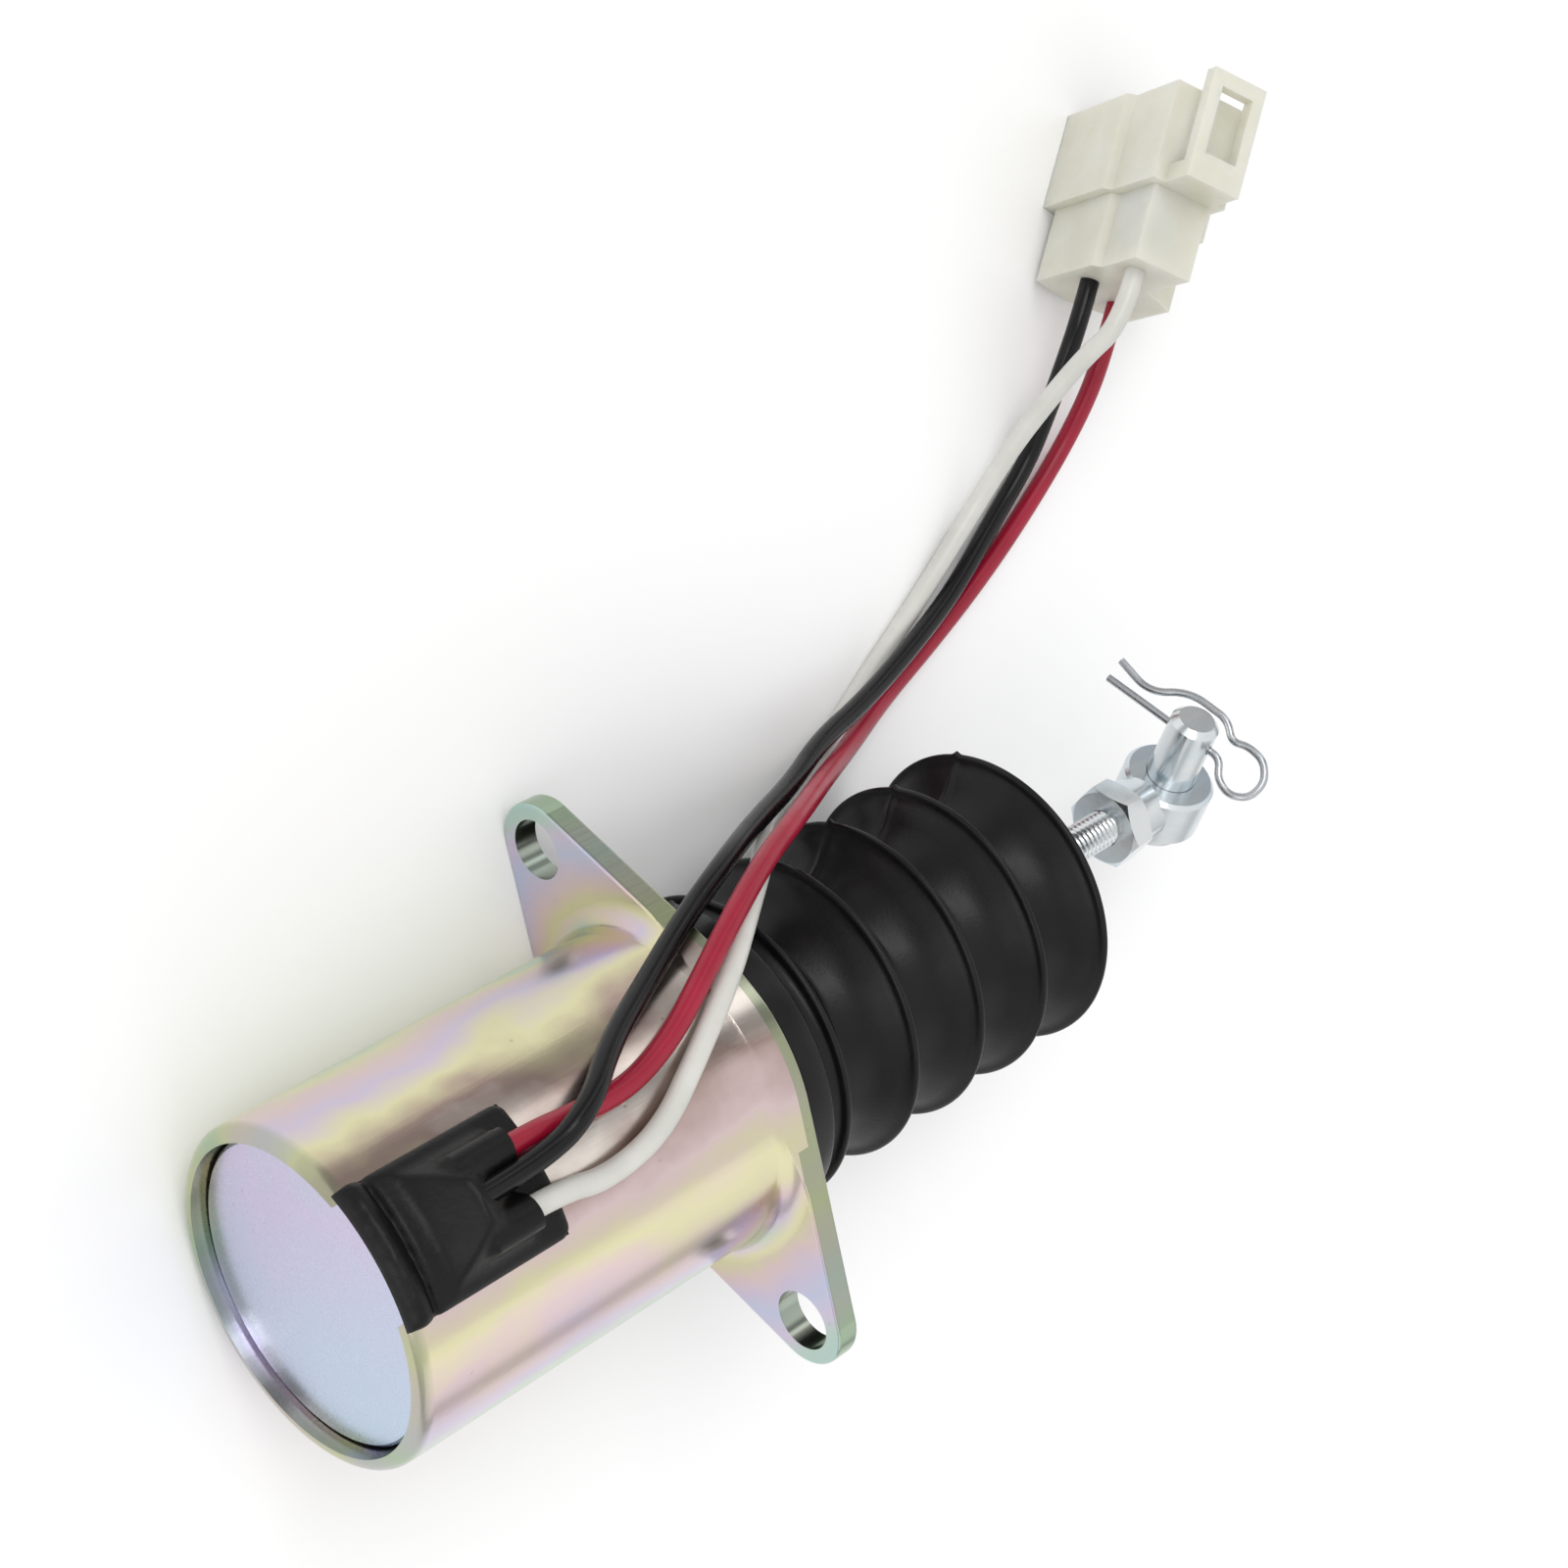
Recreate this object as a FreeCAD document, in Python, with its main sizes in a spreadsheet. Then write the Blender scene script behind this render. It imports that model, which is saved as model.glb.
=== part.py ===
"""Fuel shutoff solenoid: a drawn can with two ears, a plunger under a bellows, and a three-wire lead.

The part frame has +X along the plunger, out of the can, and +Z up.  Its origin is the centre of the
flange's outer face.  The part lies as it comes to rest, on the long straight edge of the flange, so
the ears are turned about X by the angle between that edge and the line through the bolt holes.
Sizes are in millimetres and degrees.
"""
import FreeCAD, Part

import math
import os
import re

import Sketcher
from FreeCAD import Placement, Rotation, Vector

AXIS = Vector(1, 0, 0)
PARTS_FOLDER = "parts"

# Driving sizes, one spreadsheet row each: alias, value, what it measures.
DIMENSIONS = [
    ("can_radius", 19.05, "outside radius of the drawn can"),
    ("can_wall", 1.75, "wall of the can"),
    ("can_length", 54.0, "flange face to the rolled lip"),
    ("lip_round", 1.45, "outer round of the lip"),
    ("flange_thick", 3.0, "flange thickness"),
    ("flange_rim", 0.15, "middle of the flange outline beyond the can"),
    ("ear_offset", 29.5, "bolt hole to axis"),
    ("ear_radius", 5.5, "tip of each ear"),
    ("ear_flare", 2.6, "fillet from the can to the ears"),
    ("edge_break", 0.4, "broken edges of the flange"),
    ("bolt_hole", 7.14, "bolt hole diameter"),
    ("notch_width", 12.8, "notch in the can wall for the gland"),
    ("notch_length", 17.0, "notch length from the lip"),
    ("disc_recess", 1.7, "end disc below the lip"),
    ("disc_thick", 3.0, "end disc thickness"),
    ("disc_gap", 0.3, "radial gap round the end disc"),
    ("plate_thick", 4.5, "front plate thickness"),
    ("plate_fit", 0.05, "radial gap of the front plate in the can"),
    ("collar_step", 1.3, "collar that carries the boot, inside the can's wall"),
    ("collar_wall", 2.4, "wall of the collar"),
    ("collar_length", 4.0, "collar beyond the flange face"),
    ("collar_groove", 0.9, "depth of the collar's groove"),
    ("tube_radius", 8.0, "bore of the guide tube"),
    ("tube_wall", 0.5, "wall of the guide tube"),
    ("bobbin_wall", 1.0, "bobbin barrel wall"),
    ("bobbin_flange", 1.5, "bobbin flange thickness"),
    ("bobbin_gap", 0.5, "radial gap of the bobbin's flanges in the can"),
    ("hold_thick", 2.8, "hold winding, from the outside of the pull winding"),
    ("hold_cover", 0.8, "hold winding below the bobbin's flanges"),
    ("wrap_thick", 0.4, "tape round the windings"),
    ("winding_gap", 0.05, "clearance between coaxial layers"),
    ("pole_length", 7.3, "fixed pole piece"),
    ("pole_cone", 3.0, "depth of the pole piece's seat"),
    ("nose_radius", 4.2, "small end of the seat and of the plunger nose"),
    ("slide_fit", 0.08, "radial clearance of the plunger in its tube"),
    ("stroke", 25.4, "travel of the plunger"),
    ("stroke_gap", 0.6, "air left at the end of the stroke"),
    ("plunger_length", 38.0, "plunger, nose to shoulder"),
    ("spring_bore", 3.9, "radius of the plunger's spring bore"),
    ("spring_depth", 20.0, "depth of the spring bore"),
    ("spring_radius", 2.9, "mean radius of the return spring"),
    ("spring_wire", 0.9, "return spring wire diameter"),
    ("spring_turns", 9.5, "turns of the return spring"),
    ("rod_radius", 2.415, "plunger rod"),
    ("rod_socket", 9.5, "rod inside the plunger"),
    ("thread_fit", 0.03, "radial clearance of the threaded joints"),
    ("rod_grip", 3.8, "rod inside the eye's shank"),
    ("cuff_step", 0.15, "boot cuff below the can's surface"),
    ("cuff_length", 3.6, "boot cuff length"),
    ("cuff_taper", 0.5, "slope behind the cuff"),
    ("cuff_root", 3.9, "root of the cuff above the valleys"),
    ("collar_clear", 0.3, "air in the boot beyond the collar"),
    ("ridge_radius", 18.45, "boot ridges"),
    ("ridge_width", 0.8, "flat on each ridge"),
    ("valley_radius", 12.6, "boot valleys, outside"),
    ("valley_width", 1.2, "flat in each valley"),
    ("boot_drop", 1.7, "wall of the boot measured along the radius"),
    ("first_ridge", 6.4, "flange face to the first ridge"),
    ("ridge_pitch", 11.05, "ridge to ridge"),
    ("last_cone", 5.0, "last ridge to the boot's neck"),
    ("neck_length", 4.2, "neck that grips the rod"),
    ("neck_radius", 4.3, "outside of the neck"),
    ("rib_height", 0.35, "moulding rib on the boot"),
    ("rib_width", 0.7, "width of the moulding rib"),
    ("rib_angle", -1.7, "direction of the moulding rib"),
    ("nut_start", 73.2, "jam nut, near face"),
    ("nut_thick", 3.6, "jam nut thickness"),
    ("nut_flats", 9.53, "jam nut across flats"),
    ("nut_turn", -7.7, "jam nut, direction of a corner"),
    ("shank_radius", 4.2, "shank of the rod end"),
    ("shank_length", 8.4, "jam nut to the centre of the eye"),
    ("eye_radius", 6.0, "eye outside radius"),
    ("eye_thick", 7.0, "eye face to face"),
    ("eye_break", 0.5, "broken edges of the eye"),
    ("pin_turn", 35.8, "direction of the linkage pin about the axis"),
    ("pin_radius", 3.175, "linkage pin"),
    ("pin_fit", 0.06, "radial clearance of the pin in the eye"),
    ("pin_reach", 10.0, "pin beyond the eye's face"),
    ("pin_head_radius", 4.5, "head of the pin"),
    ("pin_head_thick", 1.6, "thickness of the head"),
    ("pin_break", 0.8, "chamfer on the pin's tip"),
    ("clip_below_tip", 3.0, "clip hole below the pin's tip"),
    ("clip_wire", 1.0, "hairpin clip wire diameter"),
    ("clip_fit", 0.15, "radial clearance of the clip in its hole"),
    ("clip_lean", 45.0, "clip plane from the pin's cross section"),
    ("clip_turn", 6.0, "turn of the pin and clip about the pin's axis"),
    ("pin_float", 0.3, "end play under the pin's head"),
    ("gland_start", 0.3, "gland beyond the lip"),
    ("gland_length", 20.5, "gland along the can"),
    ("gland_angle", 45.0, "sector of the can that the gland covers"),
    ("gland_thick", 1.35, "saddle of the gland above the can"),
    ("gland_roll", 1.5, "radius of the roll at the gland's outer end"),
    ("boss_rise", 4.8, "peak of the gland's boss above the saddle"),
    ("boss_start", 5.0, "boss behind the lip"),
    ("boss_length", 14.0, "boss along the can"),
    ("boss_width", 14.0, "boss across the can"),
    ("peak_length", 2.2, "flat at the boss's peak"),
    ("peak_width", 4.0, "width of the boss's peak"),
    ("peak_start", 9.3, "peak behind the lip"),
    ("wire_diameter", 2.5, "insulated wire"),
    ("conductor", 1.3, "bare conductor diameter"),
    ("block_length", 9.8, "rear block of the connector"),
    ("hood_length", 12.8, "hood of the connector"),
    ("block_width", 9.2, "tall column of the rear block"),
    ("block_height", 21.6, "height of the tall column"),
    ("side_width", 5.4, "side column of the rear block"),
    ("side_height", 9.6, "height of the side column"),
    ("hood_step", 1.4, "hood outside the rear block, each way"),
    ("hood_wall", 1.2, "wall of the hood"),
    ("cavity_width", 6.9, "terminal cavity width"),
    ("cavity_height", 4.2, "terminal cavity height"),
    ("latch_reach", 1.4, "latch loop beyond the hood"),
    ("latch_thick", 1.8, "thickness of the latch loop"),
    ("latch_rim", 1.6, "rim round the latch window"),
    ("tab_width", 6.3, "terminal tab width"),
    ("tab_thick", 0.8, "terminal tab thickness"),
    ("tab_reach", 5.4, "tab inside the hood"),
    ("plug_x", 98.0, "rear corner of the connector, along X"),
    ("plug_y", 64.3, "rear corner of the connector, along Y"),
    ("plug_turn", 52.5, "direction of the connector's axis"),
    ("foot_drop", 2.1, "keel below the connector's corner"),
    ("foot_width", 6.3, "facet that the connector stands on"),
    ("latch_lift", 3.0, "air between the hood and the latch loop"),
    ("exit_drop", 2.2, "middle wire below the boss's peak"),
    ("exit_shift", 0.4, "middle wire from the gland's middle"),
    ("exit_lower", 1.0, "outer wires below the middle one"),
    ("exit_step", 1.7, "outer wires beyond the middle one along the can"),
    ("exit_spread", 3.1, "outer wires from the gland's middle"),
]

DOC = FreeCAD.newDocument("fuel_shutoff_solenoid")
SHEET = DOC.addObject("Spreadsheet::Sheet", "dims")
for row, (alias, value, note) in enumerate(DIMENSIONS, start=1):
    SHEET.set(f"A{row}", note)
    SHEET.set(f"B{row}", str(value))
    SHEET.setAlias(f"B{row}", alias)
DOC.recompute()

ALIASES = re.compile(r"\b(" + "|".join(alias for alias, _, _ in DIMENSIONS) + r")\b")
RIDGES = 5

# Sizes that follow from the driving ones.
FOLLOWING = {
    "flange_radius": "can_radius + flange_rim",
    "floor_depth": "flange_radius",
    "collar_radius": "can_radius - can_wall - collar_step",
    "bobbin_radius": "can_radius - can_wall - bobbin_gap",
    "hold_radius": "bobbin_radius - hold_cover",
    "pull_radius": "hold_radius - hold_thick",
    "cuff_radius": "can_radius - cuff_step",
    "neck_start": f"first_ridge + ridge_pitch * {RIDGES - 1} + last_cone",
    "rod_end_x": "nut_start + nut_thick + rod_grip",
    "eye_x": "nut_start + nut_thick + shank_length",
    "gland_top": "can_radius + gland_thick",
    "boss_top": "gland_top + boss_rise",
}
FOLLOWS = re.compile(r"\b(" + "|".join(FOLLOWING) + r")\b")
PIECES = []


def bound(expression):
    """The expression with each alias written as a cell of the sheet."""
    text = str(expression)
    while FOLLOWS.search(text):
        text = FOLLOWS.sub(lambda found: f"({FOLLOWING[found.group(1)]})", text)
    return ALIASES.sub(r"dims.\1", text)


def size(expression):
    """The number that an expression on the sheet stands for."""
    result = SHEET.evalExpression(bound(expression))
    return float(getattr(result, "Value", result))


def bind(thing, path, expression):
    """Drive one property of an object from the sheet."""
    thing.setExpression(path, bound(expression))


# Bodies, planes and placement

def new_body(name):
    """An empty body whose label names its file."""
    body = DOC.addObject("PartDesign::Body", name)
    body.Label = name
    PIECES.append(body)
    return body


def place(thing, along="0", turn=None):
    """Set a piece along the axis and, if given, turn it about the axis."""
    thing.Placement = Placement(Vector(0, 0, 0), Rotation(AXIS, 1.0))
    bind(thing, ".Placement.Base.x", along)
    bind(thing, ".Placement.Rotation.Angle", turn if turn is not None else "0")


def place_on_pin(thing):
    """Set a piece on the linkage pin: turned about the pin, then with the pin about the axis."""
    bind(thing, ".Placement", "create(<<placement>>; create(<<vector>>; eye_x; 0; 0);"
         " create(<<rotation>>; create(<<vector>>; 1; 0; 0); pin_turn)"
         " * create(<<rotation>>; create(<<vector>>; 0; 1; 0); clip_turn))")


def place_on_plug(thing):
    """Set a piece on the connector: rolled onto its facet, then turned in the floor's plane."""
    bind(thing, ".Placement", "create(<<placement>>;"
         " create(<<vector>>; plug_x; plug_y; hood_step - floor_depth);"
         " create(<<rotation>>; create(<<vector>>; 0; 0; 1); plug_turn)"
         " * create(<<rotation>>; create(<<vector>>; 1; 0; 0); -atan(foot_drop / foot_width)))")


def plane(body, role):
    """One of the body's own origin planes."""
    return next(item for item in body.Origin.OriginFeatures if item.Role == role)


def new_sketch(body, name, role="XY_Plane", lift="0", tilt=None):
    """A sketch on an origin plane, lifted along its normal and tilted about X where asked."""
    sketch = body.newObject("Sketcher::SketchObject", name)
    sketch.AttachmentSupport = [(plane(body, role), "")]
    sketch.MapMode = "FlatFace"
    if lift != "0":
        bind(sketch, ".AttachmentOffset.Base.z", lift)
    if tilt is not None:
        sketch.AttachmentOffset = Placement(Vector(0, 0, 0), Rotation(AXIS, 1.0))
        bind(sketch, ".AttachmentOffset.Rotation.Angle", tilt)
    return sketch


# Sketch outlines

def pin_point(sketch, index, position, where):
    """Fix one end of a curve by two dimensions from the origin."""
    for kind, expression in zip(("DistanceX", "DistanceY"), where):
        number = sketch.addConstraint(
            Sketcher.Constraint(kind, -1, 1, index, position, size(expression)))
        bind(sketch, f"Constraints[{number}]", expression)


def polygon(sketch, corners):
    """A closed outline of straight lines through corners given as pairs of expressions."""
    points = [Vector(size(x), size(y), 0) for x, y in corners]
    first = sketch.GeometryCount
    count = len(points)
    for here, there in zip(points, points[1:] + points[:1]):
        sketch.addGeometry(Part.LineSegment(here, there), False)
    for step in range(count):
        sketch.addConstraint(Sketcher.Constraint(
            "Coincident", first + step, 2, first + (step + 1) % count, 1))
    for step, corner in enumerate(corners):
        pin_point(sketch, first + step, 1, corner)


def rectangle(sketch, low, high):
    """A closed rectangle between two opposite corners."""
    (left, bottom), (right, top) = low, high
    polygon(sketch, [(left, bottom), (right, bottom), (right, top), (left, top)])


def ring(sketch, radius, across="0", up="0"):
    """A circle with a bound radius and centre."""
    centre = Vector(size(across), size(up), 0)
    index = sketch.addGeometry(Part.Circle(centre, Vector(0, 0, 1), size(radius)), False)
    number = sketch.addConstraint(Sketcher.Constraint("Radius", index, size(radius)))
    bind(sketch, f"Constraints[{number}]", radius)
    pin_point(sketch, index, 3, (across, up))


def ears_outline(sketch):
    """The flange outline: a middle circle and two ear tips joined by their outer tangents."""
    middle, tip, offset = size("flange_radius"), size("ear_radius"), size("ear_offset")
    lean = math.acos((middle - tip) / offset)
    stations = [
        (offset, tip, -lean, lean, "ear_radius", "ear_offset"),
        (0.0, middle, lean, math.pi - lean, "flange_radius", "0"),
        (-offset, tip, math.pi - lean, math.pi + lean, "ear_radius", "-ear_offset"),
        (0.0, middle, math.pi + lean, 2 * math.pi - lean, "flange_radius", "0"),
    ]
    arcs = []
    for across, radius, start, end, radius_name, across_name in stations:
        circle = Part.Circle(Vector(across, 0, 0), Vector(0, 0, 1), radius)
        arcs.append(sketch.addGeometry(Part.ArcOfCircle(circle, start, end), False))
    links = []
    for near, far in zip(stations, stations[1:] + stations[:1]):
        leave = Vector(near[0] + near[1] * math.cos(near[3]), near[1] * math.sin(near[3]), 0)
        reach = Vector(far[0] + far[1] * math.cos(far[2]), far[1] * math.sin(far[2]), 0)
        links.append(sketch.addGeometry(Part.LineSegment(leave, reach), False))
    for step, station in enumerate(stations):
        sketch.addConstraint(Sketcher.Constraint("Tangent", arcs[step], 2, links[step], 1))
        sketch.addConstraint(Sketcher.Constraint(
            "Tangent", links[step], 2, arcs[(step + 1) % len(arcs)], 1))
        number = sketch.addConstraint(Sketcher.Constraint("Radius", arcs[step], station[1]))
        bind(sketch, f"Constraints[{number}]", station[4])
        pin_point(sketch, arcs[step], 3, (station[5], "0"))


# Features

def turned(body, name, corners, angle=None, role="XY_Plane"):
    """A revolved profile; corners are (along the axis, radius) pairs."""
    sketch = new_sketch(body, f"{name}_profile", role)
    polygon(sketch, corners)
    feature = body.newObject("PartDesign::Revolution", name)
    feature.Profile = sketch
    feature.ReferenceAxis = (sketch, ["H_Axis"])
    if angle is None:
        feature.Angle = 360
    else:
        feature.Midplane = True
        bind(feature, "Angle", angle)
    return feature


def padded(body, name, sketch, length, reverse=False, centred=False):
    """A pad of a sketch by a bound length."""
    feature = body.newObject("PartDesign::Pad", name)
    feature.Profile = sketch
    feature.Reversed = reverse
    feature.Midplane = centred
    bind(feature, "Length", length)
    return feature


def cut(body, name, sketch, depth=None, reverse=False, centred=False):
    """A pocket of a sketch, through all where no depth is given; it must remove material."""
    before = body.Tip.Shape.Volume
    feature = body.newObject("PartDesign::Pocket", name)
    feature.Profile = sketch
    feature.Reversed = reverse
    feature.Midplane = centred
    if depth is None:
        feature.Type = "ThroughAll"
    else:
        bind(feature, "Length", depth)
    DOC.recompute()
    if feature.Shape.Volume >= before - 1e-6:
        raise RuntimeError(f"{name} removes nothing")
    return feature


def edges_of(shape, wanted):
    """Names of the edges that pass a test."""
    return [f"Edge{index}" for index, edge in enumerate(shape.Edges, start=1) if wanted(edge)]


def dress(body, kind, name, amount, wanted):
    """A fillet or a chamfer on the edges of the tip that pass a test."""
    DOC.recompute()
    base = body.Tip
    names = edges_of(base.Shape, wanted)
    if not names:
        raise RuntimeError(f"{name} finds no edge")
    feature = body.newObject(kind, name)
    feature.Base = (base, names)
    bind(feature, "Size" if kind.endswith("Chamfer") else "Radius", amount)
    return feature


def near(value, target, slack=1e-3):
    """Whether two lengths agree."""
    return abs(value - target) < slack


def lies_at(edge, along):
    """Whether the whole edge lies in one plane across the axis."""
    box = edge.BoundBox
    return near(box.XMin, along) and near(box.XMax, along)


# Can and flange

ROLL = "-asin((flange_radius - ear_radius) / ear_offset)"


def make_housing():
    """The deep-drawn can: a rolled lip at one end and two flared ears at the other."""
    body = new_body("housing")
    bore = "can_radius - can_wall"
    turned(body, "can", [
        ("0", bore), ("0", "can_radius"), ("-can_length", "can_radius"), ("-can_length", bore)])
    dress(body, "PartDesign::Fillet", "lip", "lip_round", lambda edge: (
        lies_at(edge, -size("can_length")) and near(edge.Curve.Radius, size("can_radius"))))
    flare = body.newObject("Sketcher::SketchObject", "flare_profile")
    flare.AttachmentSupport = [(plane(body, "XY_Plane"), "")]
    flare.MapMode = "FlatFace"
    start = ("-flange_thick - ear_flare", "can_radius")
    end = ("-flange_thick", "can_radius + ear_flare")
    inner = "can_radius - can_wall * 0.5"
    corners = [start, ("-flange_thick - ear_flare", inner), ("-flange_thick", inner), end]
    points = [Vector(size(x), size(y), 0) for x, y in corners]
    for here, there in zip(points, points[1:]):
        flare.addGeometry(Part.LineSegment(here, there), False)
    hollow = Vector(points[0].x, points[3].y, 0)
    circle = Part.Circle(hollow, Vector(0, 0, 1), size("ear_flare"))
    flare.addGeometry(Part.ArcOfCircle(circle, 1.5 * math.pi, 2 * math.pi), False)
    for step in range(2):
        flare.addConstraint(Sketcher.Constraint("Coincident", step, 2, step + 1, 1))
    flare.addConstraint(Sketcher.Constraint("Coincident", 2, 2, 3, 2))
    flare.addConstraint(Sketcher.Constraint("Coincident", 3, 1, 0, 1))
    for step, corner in enumerate(corners[:3]):
        pin_point(flare, step, 1, corner)
    pin_point(flare, 2, 2, end)
    number = flare.addConstraint(Sketcher.Constraint("Radius", 3, size("ear_flare")))
    bind(flare, f"Constraints[{number}]", "ear_flare")
    revolved = body.newObject("PartDesign::Revolution", "flare")
    revolved.Profile = flare
    revolved.ReferenceAxis = (flare, ["H_Axis"])
    revolved.Angle = 360

    ears = new_sketch(body, "ears_outline", "YZ_Plane")
    ears_outline(ears)
    ring(ears, bore)
    padded(body, "ears", ears, "flange_thick", reverse=True)
    DOC.recompute()

    trim = new_sketch(body, "flare_trim_outline", "YZ_Plane")
    ring(trim, "ear_offset + ear_radius * 2")
    ears_outline(trim)
    cut(body, "flare_trim", trim, "flange_thick + ear_flare + edge_break")

    holes = new_sketch(body, "bolt_hole_circles", "YZ_Plane")
    for side in ("ear_offset", "-ear_offset"):
        ring(holes, "bolt_hole / 2", side)
    cut(body, "bolt_holes", holes, "flange_thick * 2")

    notch = new_sketch(body, "notch_outline")
    rectangle(notch, ("-can_length - lip_round", "-notch_width / 2"),
              ("notch_length - can_length", "notch_width / 2"))
    cut(body, "notch", notch, "can_radius * 1.5", reverse=True)

    limit = size("flange_radius") - 1.0
    dress(body, "PartDesign::Fillet", "flange_edges", "edge_break", lambda edge: (
        (lies_at(edge, 0.0) or lies_at(edge, -size("flange_thick")))
        and max(abs(point.Point.y) for point in edge.Vertexes) > size("can_radius")
        and edge.CenterOfMass.distanceToPoint(Vector(0, 0, 0)) > limit
        and not (edge.Curve.TypeId == "Part::GeomCircle"
                 and near(edge.Curve.Radius, size("bolt_hole / 2")))
        and not (edge.Curve.TypeId == "Part::GeomCircle"
                 and near(edge.Curve.Radius, size("can_radius + ear_flare")))))
    place(body, turn=ROLL)
    return body


def make_end_disc():
    """The flat steel disc that closes the can, set in behind the lip."""
    body = new_body("end_disc")
    rim = "can_radius - can_wall - disc_gap"
    turned(body, "disc", [
        ("0", "0"), ("disc_thick", "0"), ("disc_thick", rim), ("edge_break", rim),
        ("0", f"{rim} - edge_break")])
    place(body, "disc_recess - can_length")


def make_front_plate():
    """The steel plate in the can's mouth, with the grooved collar that holds the boot."""
    body = new_body("front_plate")
    bore = "tube_radius + tube_wall + winding_gap"
    turned(body, "plate", [
        ("0", bore), ("0", "can_radius - can_wall - plate_fit"),
        ("plate_thick", "can_radius - can_wall - plate_fit"), ("plate_thick", "collar_radius"),
        ("plate_thick + collar_length * 0.25", "collar_radius"),
        ("plate_thick + collar_length * 0.3", "collar_radius - collar_groove"),
        ("plate_thick + collar_length * 0.65", "collar_radius - collar_groove"),
        ("plate_thick + collar_length * 0.7", "collar_radius"),
        ("plate_thick + collar_length * 0.9", "collar_radius"),
        ("plate_thick + collar_length", "collar_radius - collar_groove"),
        ("plate_thick + collar_length", "collar_radius - collar_wall"),
        ("plate_thick", "collar_radius - collar_wall"), ("plate_thick", bore)])
    place(body, "-plate_thick")


# Coil and guide

STACK_START = "disc_recess + disc_thick - can_length"
STACK_LENGTH = "can_length - disc_recess - disc_thick - plate_thick"


def make_bobbin():
    """The moulded reel that carries both windings."""
    body = new_body("bobbin")
    bore = "tube_radius + tube_wall + winding_gap"
    barrel = "tube_radius + tube_wall + winding_gap + bobbin_wall"
    turned(body, "reel", [
        ("0", bore), ("0", "bobbin_radius"), ("bobbin_flange", "bobbin_radius"),
        ("bobbin_flange", barrel), (f"{STACK_LENGTH} - bobbin_flange", barrel),
        (f"{STACK_LENGTH} - bobbin_flange", "bobbin_radius"),
        (STACK_LENGTH, "bobbin_radius"), (STACK_LENGTH, bore)])
    place(body, STACK_START)


def make_layer(name, inner, outer):
    """One coaxial layer between the bobbin's flanges."""
    body = new_body(name)
    length = f"{STACK_LENGTH} - 2 * bobbin_flange - 2 * winding_gap"
    turned(body, f"{name}_ring", [
        ("0", inner), (length, inner), (length, outer), ("0", outer)])
    place(body, f"{STACK_START} + bobbin_flange + winding_gap")


def make_guide_tube():
    """The thin brass tube in which the plunger slides."""
    body = new_body("guide_tube")
    length = f"{STACK_LENGTH} + plate_thick"
    turned(body, "tube", [
        ("0", "tube_radius"), (length, "tube_radius"),
        (length, "tube_radius + tube_wall"), ("0", "tube_radius + tube_wall")])
    place(body, STACK_START)


def make_pole_piece():
    """The fixed core: a flat-backed slug with a conical seat for the plunger's nose."""
    body = new_body("pole_piece")
    rim = "tube_radius - winding_gap"
    turned(body, "slug", [
        ("0", "0"), ("0", rim), ("pole_length", rim),
        ("pole_length - pole_cone", "nose_radius"), ("pole_length - pole_cone", "0")])
    place(body, STACK_START)


NOSE_X = f"{STACK_START} + pole_length - pole_cone + stroke_gap + stroke"


def make_plunger():
    """The sliding core: conical nose, blind spring bore, threaded socket for the rod."""
    body = new_body("plunger")
    rim = "tube_radius - slide_fit"
    socket = "plunger_length - rod_socket"
    turned(body, "core", [
        ("0", "spring_bore"), ("0", "nose_radius"), ("pole_cone", rim),
        ("plunger_length - edge_break * 2", rim),
        ("plunger_length", f"{rim} - edge_break * 2"),
        ("plunger_length", "rod_radius + thread_fit"), (socket, "rod_radius + thread_fit"),
        (socket, "0"), ("spring_depth", "0"), ("spring_depth", "spring_bore")])
    place(body, NOSE_X)


def make_return_spring():
    """The compression spring between the pole piece and the plunger's bore."""
    body = new_body("return_spring")
    length = "stroke + stroke_gap + spring_depth - spring_wire * 1.7"
    wire = new_sketch(body, "wire_section")
    ring(wire, "spring_wire / 2", "0", "spring_radius")
    coil = body.newObject("PartDesign::AdditiveHelix", "coil")
    coil.Profile = wire
    coil.ReferenceAxis = (wire, ["H_Axis"])
    coil.Mode = "height-turns-angle"
    bind(coil, "Height", length)
    bind(coil, "Turns", "spring_turns")
    place(body, f"{STACK_START} + pole_length - pole_cone + spring_wire * 0.85")


# Plunger rod and its end

def make_rod():
    """The steel rod from the plunger to the rod end; its thread stays plain here."""
    body = new_body("plunger_rod")
    start = f"{NOSE_X} + plunger_length - rod_socket"
    length = f"rod_end_x - ({start})"
    turned(body, "stem", [
        ("0", "0"), ("0", "rod_radius - edge_break"), ("edge_break", "rod_radius"),
        (f"{length} - edge_break", "rod_radius"), (length, "rod_radius - edge_break"),
        (length, "0")])
    place(body, start)


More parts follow.
